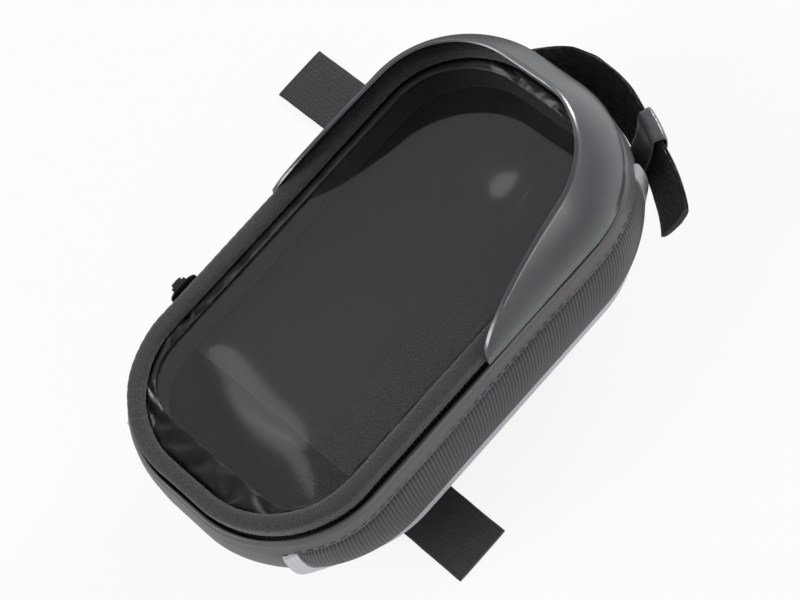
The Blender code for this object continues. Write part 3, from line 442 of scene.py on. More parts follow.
def side_panel(name, middle, node):
    """Runs lie along the side and heights up it. The face puffs up by 0.4 mm and rolls in at its edges."""
    half = PANEL_HALF_RUN - 0.0002
    bend = np.sin(np.linspace(0, math.pi / 2, 24))
    corner_run = half - PANEL_CORNER + PANEL_CORNER * bend[1:]
    flat_run = np.linspace(-(half - PANEL_CORNER), half - PANEL_CORNER, 110)
    run = np.concatenate([-corner_run[::-1], flat_run, corner_run])
    beyond = np.clip((np.abs(run) - (half - PANEL_CORNER)) / PANEL_CORNER, 0, 1)
    low = PANEL_LOW + PANEL_CORNER * (1 - np.sqrt(1 - beyond**2))
    share = (1 - np.cos(np.linspace(0, math.pi, 34))) / 2
    z = low[:, None] + (PANEL_TOP - low[:, None]) * share[None, :]
    run = np.broadcast_to(run[:, None], z.shape)
    inside = np.minimum(np.minimum(-beside_panel(run, z), PANEL_TOP - z), PANEL_EDGE) / PANEL_EDGE
    puff = np.sqrt(np.clip(1 - (1 - inside) ** 2, 0, 1))
    dent = soft_waves(run, z, 0.03, 7)
    face = wall(middle + run, z, -0.0006 + puff * (0.0009 + 0.0002 * dent))
    back = wall(middle + run, z, -0.0007)[:, ::-1]
    panel = surface(name, np.concatenate([face, back], 1))
    threads = np.empty(2 * len(panel.data.loops))
    panel.data.uv_layers["cloth"].data.foreach_get("uv", threads)
    threads[1::2] -= RIB_SLANT * threads[0::2]
    panel.data.uv_layers["cloth"].data.foreach_set("uv", threads)
    fit(panel, twill, "tub", "woven_twill", node)


side_panel("twill_panel_right", 0.0, "side_panel_right")
side_panel("twill_panel_left", 2 * QUARTER, "side_panel_left")

# Reflective piping
# A 4 mm strip of silver reflective tape, glass beads on a woven backing, is folded over a thin cord and sewn
# into the seam round each panel.

# Glass-bead tape: pale grey with a slight metal look, printed in a honeycomb of 1.3 mm cells.
tape, tree, shader, cloth = new_material("glass_bead_tape", "#c4c4ca", 0.34)
cells = add(tree, "TexVoronoi", {"Vector": cloth, "Scale": 770, "Randomness": 0.15}, feature="DISTANCE_TO_EDGE")
lines = add(tree, "MapRange", {"Value": cells, "From Max": 0.12})
shade = add(tree, "Mix", {"Factor": lines, "A": "#c2c2c8", "B": "#e4e4ea"}, data_type="RGBA")
beads = add(tree, "TexNoise", {"Vector": cloth, "Scale": 9000})
bump = add(tree, "Bump", {"Strength": 0.15, "Distance": 0.0001, "Height": beads})
wire(shader, {"Base Color": shade, "Normal": bump, "Metallic": 0.25})

PIPING_HALF = 0.002


def piping(name, middle, node):
    """Down one end of the panel, round its corner, along its lower edge and up again. The face rises from
    the panel in a slope and rolls in at its outer edge."""
    reach = PANEL_CORNER + 0.0003 + PIPING_HALF
    centre_run = PANEL_HALF_RUN - PANEL_CORNER
    centre_z = PANEL_LOW + PANEL_CORNER
    turn = np.linspace(0, math.pi / 2, 30)
    normal_run = np.concatenate([np.full(24, -1.0), -np.cos(turn), np.zeros(60)])
    normal_z = np.concatenate([np.zeros(24), -np.sin(turn), np.full(60, -1.0)])
    flat = np.linspace(-centre_run, 0, 60, endpoint=False)[1:]
    run = np.concatenate([np.full(54, -centre_run), flat, [0.0]]) + reach * normal_run
    down = np.linspace(PANEL_TOP, centre_z, 24, endpoint=False)
    z = np.concatenate([down, np.full(90, centre_z)]) + reach * normal_z
    half = np.stack([run, z, normal_run, normal_z])
    swapped = half[:, -2::-1] * np.array([[-1], [1], [-1], [1]])
    run, z, normal_run, normal_z = np.concatenate([half, swapped], 1)
    around = np.linspace(0, math.pi, 18)
    across = np.concatenate([PIPING_HALF * np.cos(around), [-PIPING_HALF, PIPING_HALF]])
    toward_edge = (1 + np.cos(around)) / 2
    rolled = np.minimum((1 - toward_edge) / 0.12, 1) ** 0.5
    proud = np.concatenate([0.0002 + 0.0018 * toward_edge * rolled, [-0.0007, -0.0007]])
    points = wall(middle + run[:, None] + across * normal_run[:, None], z[:, None] + across * normal_z[:, None],
                  proud[None, :])
    fit(surface(name, points), tape, "tub", "reflective_tape", node)


piping("reflective_piping_right", 0.0, "piping_right")
piping("reflective_piping_left", 2 * QUARTER, "piping_left")

# Upper band
# A strip of the same PU fabric goes round the top of the tub, sewn over the panels' upper edge, and at both
# ends it is pressed smoothly on to the skin. It is soft, so it bulges a little and rolls in towards the zip.

BAND_LOW = 0.0501
BAND_TOP = 0.0566


def turns(count):
    """Angles that go once round a section."""
    return np.linspace(0, 2 * math.pi, count, endpoint=False)


def squarish(wave, power):
    """A sine or cosine raised to a power with its sign kept: the lower the power, the squarer the section."""
    return np.sign(wave) * np.abs(wave) ** power


run = ring(720)
turn = turns(40)[:, None]
past_panel = eased(np.clip((from_side(run) - 0.0762) / 0.008, 0, 1)[None, :])
low_z = BAND_LOW - 0.005 * past_panel
share = (1 - squarish(np.cos(turn), 0.55)) / 2
profile_z = low_z + (BAND_TOP - low_z) * share
face = np.abs(np.sin(turn)) ** (0.6 + 0.5 * past_panel * (share < 0.5))
profile_out = np.where(np.sin(turn) > 0, 0.0004 * face, -0.001 * face)
feathered = past_panel * np.clip((0.0495 - profile_z) / 0.004, 0, 1) * 0.0009
rolled = np.clip((profile_z - 0.0546) / 0.0020, 0, 1) ** 2 * 0.0008
bulge = soft_waves(run[None, :], 0.0, 0.024, 11) * 0.00022
proud = profile_out - rolled - feathered + np.where(np.sin(turn) > 0, 1.0, 0.0) * bulge
band_rows = wall(run[None, :], profile_z, proud)
fit(surface("upper_band_pu", band_rows, ends="joined"), smooth_pu, "tub", "smooth_pu", "upper_band")


def spindles(name, middle, ways, offsets):
    """A small closed spindle at each middle: four rings of corners, set off by so much in each of three ways."""
    sides = offsets[0].shape[1]
    points = middle[:, None, None]
    for way, offset in zip(ways, offsets):
        points = points + offset[..., None] * way[:, None, None]
    faces = [[sides * k + j, sides * k + (j + 1) % sides, sides * (k + 1) + (j + 1) % sides, sides * (k + 1) + j]
             for k in range(3) for j in range(sides)]
    faces += [list(range(sides))[::-1], list(range(3 * sides, 4 * sides))]
    mesh = bpy.data.meshes.new(name)
    mesh.from_pydata(points.reshape(-1, 3).tolist(), [],
                     [[corner + 4 * sides * i for corner in face] for i in range(len(middle)) for face in faces])
    return outward(name, mesh)


# Bonded thread: twisted dark grey polyester, its plies 0.4 mm apart.
thread, tree, shader, spot = new_material("bonded_thread", "#4b4a4d", 0.5, uv=False)
plies = add(tree, "TexWave", {"Vector": spot, "Scale": BAND_STEP / 0.0004}, bands_direction="DIAGONAL")
shade = add(tree, "Mix", {"Factor": plies, "A": "#403f42", "B": "#5a595c"}, data_type="RGBA")
wire(shader, {"Base Color": shade})

STITCH = 0.0024
STITCH_Z = 0.0513
THREAD_RADIUS = 0.00016


def seam(name, run, z, proud, along_z=False):
    """Four-sided stitches on the wall at these runs and heights, along the run or up the wall. Each is fullest
    halfway along, and sunk into the cloth at its ends."""
    round_way = unit(wall(run + 1e-4, z, proud) - wall(run - 1e-4, z, proud))
    up_way = unit(wall(run, z + 1e-4, proud) - wall(run, z - 1e-4, proud))
    out = np.cross(round_way, up_way)
    ahead = up_way if along_z else round_way
    turn = np.arange(4) * math.pi / 2
    reach = np.array([[-0.5], [-0.3], [0.3], [0.5]]) * STITCH + 0 * turn
    girth = np.array([[0.3], [1.0], [1.0], [0.3]]) * THREAD_RADIUS
    up = girth * (np.sin(turn) + 0.3) - 0.3 * THREAD_RADIUS
    row = spindles(name, wall(run, z, proud), (ahead, np.cross(ahead, out), out),
                   (reach, girth * np.cos(turn), up))
    fit(row, thread, "tub", "webbing")


beside_run = np.arange(-0.0735, 0.0736, 0.0033)
seam("band_stitches_right", beside_run, STITCH_Z, 0.00052)
seam("band_stitches_left", beside_run + 2 * QUARTER, STITCH_Z, 0.00052)

# Zip
# A nylon coil zip closes the lid. Each half is a woven tape with a row of coil loops along its edge, and the
# two rows part over the folding skin at the front.

LID_HALF_WIDTH = 0.0421
LID_HALF_LENGTH = 0.0809
LID_CORNER = 0.034
HINGE_HALF = 0.022


def lid(run, inset, z):
    """The lid's outline, drawn in by an inset."""
    return rounded(run, LID_HALF_WIDTH - inset, LID_HALF_LENGTH - inset, LID_CORNER - inset, z)


# Woven tape and strap webbing: near-black polyester, its threads drawn 0.7 to 0.9 mm apart so that they show.
webbing, tree, shader, cloth = new_material("polyester_webbing", "#2b2b2d", 0.82)
warp = add(tree, "TexWave", {"Vector": cloth, "Scale": BAND_STEP / 0.0009}, bands_direction="X")
weft = add(tree, "TexWave", {"Vector": cloth, "Scale": BAND_STEP / 0.0007}, bands_direction="Y")
fuzz = add(tree, "TexNoise", {"Vector": cloth, "Scale": 1800, "Detail": 3})
weave = add(tree, "Math", {0: warp, 1: weft}, operation="MULTIPLY")
height = add(tree, "Math", {0: fuzz, 1: 1.2, 2: weave}, operation="MULTIPLY_ADD")
shade = add(tree, "Mix", {"Factor": fuzz, "A": "#121213", "B": "#303032"}, data_type="RGBA")
bump = add(tree, "Bump", {"Strength": 0.6, "Distance": 0.0003, "Height": height})
wire(shader, {"Base Color": shade, "Normal": bump, "Sheen Weight": 0.2})

run = ring(300)
tape_z = np.linspace(0.043, 0.0545, 7)
tape_rows = np.concatenate([
    wall(run[None, :], tape_z[:, None], -0.0046),
    lid(run, 0.0028, 0.0561)[None],
    lid(run, 0.0032, 0.0562)[None],
    wall(run[None, :], tape_z[::-1, None], -0.0052),
])
fit(surface("zip_tape_tub", tape_rows, ends="joined"), webbing, "tub", "webbing", "zip_tape_body")
section = ((0.0028, 0.0583), (0.0028, 0.0589), (0.0052, 0.0589), (0.0052, 0.0583))
tape_rows = np.stack([lid(run, inset, z) for inset, z in section])
fit(surface("zip_tape_upper", tape_rows, ends="joined"), webbing, "lid", "webbing", "zip_tape_lid")

# Nylon coil: smooth black monofilament with a soft highlight.
nylon, tree, shader, spot = new_material("nylon_monofilament", "#1a1a1c", 0.38, uv=False)
cloud = add(tree, "TexNoise", {"Vector": spot, "Scale": 900})
shade = add(tree, "Mix", {"Factor": cloud, "A": "#121214", "B": "#262629"}, data_type="RGBA")
wire(shader, {"Base Color": shade})

COIL_PITCH = 0.0014
COIL_INSET = 0.00155
COIL_REACH = 0.00095


def coil(name, first, low, high, body, node):
    """A row of short six-sided loops, one each pitch along the zip, lying across it from 0.6 to 2.5 mm in."""
    start = HINGE_HALF - (AROUND - QUARTER)
    run = np.arange(start + first, QUARTER - HINGE_HALF, COIL_PITCH)
    ahead = unit(lid(run + 1e-4, COIL_INSET, 0.0) - lid(run - 1e-4, COIL_INSET, 0.0))
    out = np.stack([ahead[:, 1], -ahead[:, 0], np.zeros(len(run))], 1)
    turn = turns(6)
    reach = np.array([[-1.0], [-0.8], [0.8], [1.0]]) * COIL_REACH + 0 * turn
    girth = np.array([[0.45], [1.0], [1.0], [0.45]])
    row = spindles(
        name, lid(run, COIL_INSET, (low + high) / 2), (out, ahead, np.broadcast_to([0.0, 0.0, 1.0], out.shape)),
        (reach, girth * np.cos(turn) * COIL_PITCH * 0.33, girth * np.sin(turn) * (high - low) / 2))
    fit(row, nylon, body, "zip_teeth", node)


coil("zip_coil_tub", 0.0005, 0.0548, 0.0563, "tub", "zip_chain_body")
coil("zip_coil_lid", 0.0005 + COIL_PITCH / 2, 0.0577, 0.0589, "lid", "zip_chain_lid")

# Folding skin
# At the front the zip stops, and a doubled strip of the PU fabric joins lid and tub as their hinge. It is sewn
# into both edges and bends along its middle.

SKIN = 0.0007
FOLD_INSET = 0.0012

run = np.linspace(QUARTER - HINGE_HALF + 0.001, QUARTER + HINGE_HALF - 0.001, 60)
turn = np.linspace(-math.pi / 2, math.pi / 2, 14)
bow, fold_z = 0.0011 * np.cos(turn), 0.05705 + 0.0020 * np.sin(turn)
outer = lid(run[:, None], FOLD_INSET - bow, fold_z)
inner = lid(run[:, None], FOLD_INSET + SKIN - bow, fold_z)[:, ::-1]
hinge = surface("folding_skin", np.concatenate([outer, inner], 1))
hinge.data.materials.append(smooth_pu)
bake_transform(hinge)
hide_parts("hinge_strip")

# Pocket inside the lid
# A frame of soft foam covered in black cloth goes round the pocket. A thin backing closes it from below, open at
# the rear, and a hook-and-loop strap lifts what lies in it against the window.

WINDOW_HALF_WIDTH = 0.0345
WINDOW_REAR = 0.067
WINDOW_FRONT = 0.072
REAR_CORNER = 0.016
FRONT_CORNER = 0.025


def window(run, inset, z):
    """The window's outline, whose front corners are rounder than its rear ones."""
    share_x, share_y, normal_x, normal_y = places(run)
    at_front = np.clip(share_y * 6 + 0.5, 0, 1)
    corner = REAR_CORNER + (FRONT_CORNER - REAR_CORNER) * at_front
    rear_y = REAR_CORNER - WINDOW_REAR
    front_y = WINDOW_FRONT - FRONT_CORNER
    x = share_x * (WINDOW_HALF_WIDTH - corner) + (corner - inset) * normal_x
    y = rear_y + (front_y - rear_y) * (share_y + 1) / 2 + (corner - inset) * normal_y
    return to_points(x, y, z)


run = ring()
turn = turns(24)
over = (0.5 + 0.5 * squarish(np.cos(turn), 0.4))[:, None, None]
frame_z = 0.052 + 0.006 * squarish(np.sin(turn), 0.35)
outer = lid(run, 0.0056, 0.0)[None]
inner = window(run, -0.0005, 0.0)[None]
foam_rows = inner + (outer - inner) * over
foam_rows[..., 2] = frame_z[:, None]
foam = fit(surface("foam_frame", foam_rows, ends="joined"), lining, "lid", "foam", "lid_foam_frame")

BACKING_INSET = 0.0062
back_y = np.concatenate([[-0.046], np.linspace(-0.0455, LID_HALF_LENGTH - BACKING_INSET, 60)])
corner = LID_CORNER - BACKING_INSET
centre_y = LID_HALF_LENGTH - LID_CORNER
beyond = np.clip(back_y - centre_y, 0, corner * 0.99999)
half_x = LID_HALF_WIDTH - LID_CORNER + np.sqrt(corner**2 - beyond**2)
turn = turns(48)
flat_x = squarish(np.cos(turn), 0.5)
thick = squarish(np.sin(turn), 0.25)
sag = 0.0004 * np.cos(back_y * math.pi / 0.16)[:, None] * (1 - flat_x**2)[None, :]
backing = to_points(half_x[:, None] * flat_x, back_y[:, None], 0.0451 + 0.0006 * thick - sag)
fit(surface("pocket_backing", backing), lining, "lid", "foam", "pocket_panel")


def ribbon(name, centre, across, width, thickness, wander=0.0):
    """A strap along a centre line: its section is a flat rounded loop, across it and through its thickness."""
    across = np.broadcast_to(np.asarray(across, float), centre.shape)
    through = unit(np.cross(unit(np.gradient(centre, axis=0)), across))
    turn = turns(24)
    wide = squarish(np.cos(turn), 0.35) * width / 2
    deep = squarish(np.sin(turn), 0.45) * thickness / 2
    along = np.arange(len(centre)) * np.linalg.norm(centre[1] - centre[0])
    ragged = 1 + wander * soft_waves(along, 0.0, 0.006, 5)
    points = (centre[:, None] + (ragged[:, None] * wide)[..., None] * across[:, None]
              + deep[None, :, None] * through[:, None])
    return surface(name, points)


# Loop pile: the soft half of a hook-and-loop strap, a dark grey nap of fine loops drawn 0.7 mm across.
pile, tree, shader, cloth = new_material("nylon_loop_pile", "#262627", 0.9)
nap = add(tree, "TexNoise", {"Vector": cloth, "Scale": 1500, "Detail": 4, "Distortion": 1.2})
rows = add(tree, "TexWave", {"Vector": cloth, "Scale": BAND_STEP / 0.0016, "Distortion": 3, "Detail": 2,
                             "Detail Scale": 4}, bands_direction="X")
height = add(tree, "Math", {0: rows, 1: 0.14, 2: nap}, operation="MULTIPLY_ADD")
shade = add(tree, "Mix", {"Factor": height, "A": "#131314", "B": "#3e3e40"}, data_type="RGBA")
bump = add(tree, "Bump", {"Strength": 0.9, "Distance": 0.0005, "Height": height})
wire(shader, {"Base Color": shade, "Normal": bump, "Sheen Weight": 0.35})

strap_line = to_points(np.linspace(-0.034, 0.034, 60), -0.008, 0.04345)
fit(ribbon("phone_lift_strap", strap_line, (0, 1, 0), 0.0198, 0.0014), pile, "lid", "webbing", "pocket_strap")

# Window
# A sheet of clear flexible TPU film, half a millimetre thick, lies under the border. It is crowned by the foam
# below and a little wavy, so the room's reflections bend in it.

# Clear TPU film: colourless and glossy, with slow waves in it.
film, tree, shader, spot = new_material("clear_tpu_film", "#f6f8f9", 0.04, uv=False)
flow = add(tree, "TexNoise", {"Vector": spot, "Scale": 30, "Detail": 0})
bump = add(tree, "Bump", {"Strength": 0.12, "Distance": 0.0015, "Height": flow})
wire(shader, {"Normal": bump, "Transmission Weight": 1.0, "IOR": 1.45})

FILM = 0.0005
FILM_Z = 0.0583
CROWN = 0.0009

run = ring()
inward = np.concatenate([np.linspace(0.02, 1, 130), [1.02]])
edge_line = window(run, 0.0, 0.0)[None]
under_line = lid(run, 0.0060, 0.0)[None]
film_plan = edge_line * np.minimum(inward, 1)[:, None, None]
film_plan[..., 1] += (1 - np.minimum(inward, 1))[:, None] * 0.0025
film_plan = np.concatenate([film_plan[:-1], under_line])
crown = np.concatenate([1 - inward[:-1] ** 2, [0]])[:, None]
free = np.concatenate([1 - inward[:-1] ** 4, [0]])[:, None]
ripple = soft_waves(film_plan[..., 0], film_plan[..., 1], 0.035, 21)
fold_from, fold_to = np.array([0.0175, 0.0525]), np.array([0.0300, 0.0130])
fold_way = unit(fold_to - fold_from)
reach = film_plan[..., :2] - fold_from
along_fold = reach @ fold_way
off_fold = reach @ np.array([fold_way[1], -fold_way[0]]) - 0.0012 * np.sin(along_fold / 0.042 * math.pi)
fold = np.exp(-((off_fold / 0.0007) ** 2)) * np.clip(along_fold / 0.01, 0, 1)
fold = fold * np.clip((0.0415 - along_fold) / 0.01, 0, 1)
film_z = FILM_Z + CROWN * crown + free * 0.00012 * ripple + 0.00030 * fold
upper = to_points(film_plan[..., 0], film_plan[..., 1], film_z + FILM)
lower = to_points(film_plan[..., 0], film_plan[..., 1], film_z)
film_rows = np.concatenate([upper, lower[::-1]])
fit(surface("tpu_window", film_rows), film, "lid", "clear_film", "window_film")

# Border round the window
# A margin of thin gloss-coated fabric is sewn down beside the binding in a deep seam and welded to the film
# inside. It is loose over the foam, so it puckers, most at the rear where it is widest: a cloth simulation makes
# its threads 3% longer than the space between the two seams, and the buckled sheet is kept.

# Gloss PU: black and wet-looking, with fine creases.
gloss_pu, tree, shader, cloth = new_material("gloss_pu_fabric", "#161617", 0.3)
cloud = add(tree, "TexNoise", {"Vector": cloth, "Scale": 160, "Detail": 5, "Distortion": 0.8})
shade = add(tree, "Mix", {"Factor": cloud, "A": "#111112", "B": "#242426"}, data_type="RGBA")
shine = add(tree, "MapRange", {"Value": cloud, "To Min": 0.32, "To Max": 0.5})
bump = add(tree, "Bump", {"Strength": 0.3, "Distance": 0.0006, "Height": cloud})
wire(shader, {"Base Color": shade, "Roughness": shine, "Normal": bump})

SEAM = 0.0006
BORDER = 0.0006
BORDER_Z = 0.0591

run = ring(560)
over = np.linspace(0, 1, 13)[:, None, None]
outer = lid(run, 0.0046, 0.0)[None]
inner = window(run, 0.0, 0.0)[None]
border = outer + (inner - outer) * over
wide = np.linalg.norm((outer - inner)[..., :2], axis=2)
past_seam = np.clip((over[..., 0] * wide - SEAM) / (wide - SEAM), 0, 1)
lift = np.sin(math.pi * past_seam**0.8) ** 0.7
pucker = soft_waves(run[None, :], 0.3 * over[..., 0] * wide, 0.009, 31)
looseness = np.clip((wide - 0.002) / 0.005, 0.2, 1)
border[..., 2] = BORDER_Z + lift * (0.0012 + looseness * (0.0003 + 0.0004 * pucker))

SPARE = 0.03
STEPS = 20
slack = surface("slack_border", border, ends="open")
sewn = slack.vertex_groups.new(name="sewn")
corner_of = np.arange(border[..., 0].size).reshape(border.shape[:2])
sewn.add(corner_of[[0, -1]].ravel().tolist(), 1.0, "REPLACE")
cloth_fold = slack.modifiers.new("cloth", "CLOTH")
cloth_fold.settings.vertex_group_mass = "sewn"
cloth_fold.settings.shrink_min = cloth_fold.settings.shrink_max = -SPARE
cloth_fold.settings.bending_stiffness = 60
cloth_fold.settings.effector_weights.gravity = 0
cloth_fold.collision_settings.use_collision = False
cloth_fold.point_cache.frame_end = STEPS
for moment in range(1, STEPS + 1):
    scene.frame_set(moment)
folded_mesh = slack.evaluated_get(bpy.context.evaluated_depsgraph_get()).to_mesh()
buckled = np.empty(border.size)
folded_mesh.vertices.foreach_get("co", buckled)
moved = buckled.reshape(border.shape) - border
scene.frame_set(1)
bpy.data.objects.remove(slack)
moved[..., :2] = np.clip(moved[..., :2], -0.0006, 0.0006)
moved[..., 2] = np.clip(moved[..., 2], -0.0012, 0.0010)
border = border + moved * np.clip((wide - 0.0031) / 0.0018, 0, 1)[..., None]
border[..., 2] = np.maximum(border[..., 2], BORDER_Z + 0.0001 * (lift > 0))

under = border[::-1].copy()
under[..., 2] -= BORDER
margin = surface("gloss_border", np.concatenate([border, under]), ends="joined")
smoother = margin.modifiers.new("smooth", "SUBSURF")
smoother.levels = smoother.render_levels = 1
fit(margin, gloss_pu, "lid", "gloss_pu", "lid_border")

# Binding roll
# A 5 mm roll of woven binding over a soft core goes round the lid's edge, where binding, border and zip tape are
# sewn together. Its outer edge hangs over the zip as a storm flap, and it dents a little between its stitches.

# Woven binding: charcoal polyester in a plain weave, drawn 0.9 mm coarse and uneven so that it still shows.
binding, tree, shader, cloth = new_material("woven_binding_tape", "#2f2e31", 0.66)
warp, weft = (
    add(tree, "TexWave", {"Vector": cloth, "Scale": BAND_STEP / 0.0009, "Distortion": 7, "Detail": 2,
                          "Detail Scale": 3}, bands_direction=way) for way in "XY")
weave = add(tree, "Math", {0: warp, 1: weft}, operation="MULTIPLY")
fuzz = add(tree, "TexNoise", {"Vector": cloth, "Scale": 1300, "Detail": 4})
height = add(tree, "Math", {0: fuzz, 1: 1.2, 2: weave}, operation="MULTIPLY_ADD")
shade = add(tree, "Mix", {"Factor": height, "A": "#111012", "B": "#3b3a3d"}, data_type="RGBA")
bump = add(tree, "Bump", {"Strength": 0.6, "Distance": 0.0003, "Height": height})
wire(shader, {"Base Color": shade, "Normal": bump, "Sheen Weight": 0.25})

ROLL_Z = 0.0616
ROLL_HALF = 0.00265

run = ring(1200)
turn = turns(30)[:, None]
roll_out = ROLL_HALF * squarish(np.cos(turn), 0.85)
roll_up = 0.0024 * squarish(np.sin(turn), 0.8)
dent = 1 - 0.035 * np.maximum(np.cos(2 * math.pi * run / 0.0034), 0) ** 3
dent = dent + 0.03 * soft_waves(run, 0.0, 0.013, 41)
flap = 0.0025 * np.exp(-(((turn - 5.68) / 0.38) ** 2))
roll_rows = lid(run[None, :], ROLL_HALF - roll_out * dent, ROLL_Z + roll_up * dent - flap)
roll = fit(surface("binding_roll", roll_rows, ends="joined"), binding, "lid", "woven_binding", "lid_roll")

# Sun visor
# A crescent of stiffened PU sheet 1.2 mm thick is sewn in at the zip round the front half of the lid. It rises to
# 22 mm at the front, leans in over the window, and narrows to a point on each side.

VISOR_START = 0.002
VISOR_RAMP = 0.090
VISOR_LOW = 0.002
VISOR_RISE = 0.020
VISOR_LEAN = 0.0105
VISOR = 0.0012

# Visor sheet: the same satin coating on a stiffener, so it is flatter, paler and shinier than the band.
visor_pu, tree, shader, cloth = new_material("stiffened_pu_sheet", "#636569", 0.24)
cloud = add(tree, "TexNoise", {"Vector": cloth, "Scale": 50, "Detail": 3})
grain = add(tree, "TexVoronoi", {"Vector": cloth, "Scale": 2300})
shade = add(tree, "Mix", {"Factor": cloud, "A": "#45474b", "B": "#55575b"}, data_type="RGBA")
shine = add(tree, "MapRange", {"Value": cloud, "To Min": 0.2, "To Max": 0.3})
bump = add(tree, "Bump", {"Strength": 0.08, "Distance": 0.0002, "Height": grain})
wire(shader, {"Base Color": shade, "Roughness": shine, "Normal": bump, "Specular IOR Level": 1.0})

run = np.linspace(VISOR_START, 2 * QUARTER - VISOR_START, 420)
distance = np.minimum(run - run[0], run[-1] - run)
ramp = np.sin(np.minimum(distance / VISOR_RAMP, 1) * math.pi / 2)
rise = VISOR_LOW + VISOR_RISE * ramp**0.5
lean = VISOR_LEAN * ramp**0.7
level = np.concatenate([np.linspace(0, 1, 26), [1.012], np.linspace(1, 0, 26)])
outside = 0.0003 + VISOR * np.concatenate([np.ones(26), [0.5], np.zeros(26)])
foot_z = ZIP_Z + 0.0012
visor_z = foot_z + rise[:, None] * level[None, :]
above = np.clip((visor_z - ROLL_Z) / np.maximum(foot_z + rise[:, None] - ROLL_Z, 0.001), 0, 1.02)
billow = 0.0005 * soft_waves(run[:, None], visor_z, 0.05, 51) * above
inset = lean[:, None] * above**1.3 - outside[None, :] - billow
visor_rows = lid(run[:, None], inset, visor_z)
fit(surface("sun_visor", visor_rows), visor_pu, "lid", "smooth_pu", "visor")

# Grip pads
# Two ribbed pads of moulded rubber are bonded under the base, a long one in the middle and a short one at the
# rear, so that the bag doesn't slide along the tube.

# Moulded rubber: matt black with a dusty bloom.
rubber, tree, shader, spot = new_material("moulded_rubber", "#1d1d1e", 0.75, uv=False)
bloom = add(tree, "TexNoise", {"Vector": spot, "Scale": 260, "Detail": 5})
shade = add(tree, "Mix", {"Factor": bloom, "A": "#161617", "B": "#2b2b2c"}, data_type="RGBA")
bump = add(tree, "Bump", {"Strength": 0.2, "Distance": 0.0002, "Height": bloom})
wire(shader, {"Base Color": shade, "Normal": bump})

PAD_CORNER = 0.003
RIB_STEP = 0.003
RIB_DEPTH = 0.0007


def grip_pad(name, node):
    """A flat pad with round corners, and half-round ribs across its underside."""
    low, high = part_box(node)
    y = np.linspace(low[1], high[1], int((high[1] - low[1]) / 0.0004))
    from_end = np.minimum(y - low[1], high[1] - y)
    half_x = high[0] - PAD_CORNER + np.sqrt(PAD_CORNER**2 - np.clip(PAD_CORNER - from_end, 0, 0.00299) ** 2)
    turn = turns(40)
    flat_x = squarish(np.cos(turn), 0.3)
    thick = squarish(np.sin(turn), 0.2)
    ribs = RIB_DEPTH * np.abs(np.sin(math.pi * y / RIB_STEP)) ** 0.7
    half_z = (high[2] - low[2]) / 2
    z = half_z + half_z * thick[None, :] + (thick < 0)[None, :] * (RIB_DEPTH - ribs)[:, None]
    points = to_points(half_x[:, None] * flat_x, y[:, None], z)
    fit(surface(name, points), rubber, "tub", "grip_rubber", node)


grip_pad("grip_pad_long", "grip_pad_middle")
grip_pad("grip_pad_short", "grip_pad_rear")

# Tube straps
# Two 20 mm hook-and-loop straps are sewn under the base and lie out on the floor, the front one to the left and
# the rear one to the right. Each passes over two loops of webbing.

STRAP_WIDTH = 0.020
STRAP = 0.0014
DROP_START = 0.034
DROP_END = 0.050


def tube_strap(name, centre_y, end_x, node):
    """Flat under the base, down in half a cosine wave beyond it, then flat on the floor."""
    x = np.linspace(-0.027, abs(end_x), 160)
    share = np.clip((x - DROP_START) / (DROP_END - DROP_START), 0, 1)
    z = 0.00075 + 0.0012 * (1 + np.cos(share * math.pi)) / 2
    line = to_points(np.sign(end_x) * x, centre_y, z)
    fit(ribbon(name, line, (0, 1, 0), STRAP_WIDTH, STRAP, wander=0.006), pile, "tub", "webbing", node)


tube_strap("tube_strap_front", 0.0486, -0.101, "front_tube_strap")
tube_strap("tube_strap_rear", -0.0349, 0.058, "rear_tube_strap")


def strap_bar(name, node):
    """A loop of webbing: sewn flat at both ends, it dips under the strap between them."""
    low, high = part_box(node)
    y = np.linspace(low[1], high[1], 60)
    from_end = np.minimum(y - low[1], high[1] - y)
    dip = np.clip((from_end - 0.0022) / 0.0012, 0, 1)
    z = high[2] - 0.0006 - (high[2] - 0.0011) * eased(dip)
    line = to_points((low[0] + high[0]) / 2, y, z)
    fit(ribbon(name, line, (1, 0, 0), 0.009, 0.0009), webbing, "tub", "webbing", node)


for end in ("front", "rear"):
    for hand in ("left", "right"):
        strap_bar(f"webbing_loop_{end}_{hand}", f"strap_bar_{end}_{hand}")

# Head tube strap and keeper
# A 20 mm strap is sewn to the front wall on one side, bows out where the head tube goes, and passes through a
# glossy keeper before its tail hangs down round the right corner.

# Hooks: the stiff half of the strap, black, with a fine scratchy glint painted lighter on the hooks' tips.
hooks, tree, shader, cloth = new_material("nylon_hooks", "#232325", 0.6)
hook_tips_and_painted_glint = add(tree, "TexVoronoi", {"Vector": cloth, "Scale": 800, "Randomness": 0.8})
# Painted highlight: each cell's middle, a hook's tip, is painted lighter as a glint, and the same cells raise the
# hooks in the bump.
shade = add(tree, "Mix", {"Factor": hook_tips_and_painted_glint, "A": "#39393b", "B": "#0b0b0c"}, data_type="RGBA")
bump = add(tree, "Bump", {"Strength": 0.8, "Distance": 0.0005, "Height": hook_tips_and_painted_glint}, invert=True)
wire(shader, {"Base Color": shade, "Normal": bump})

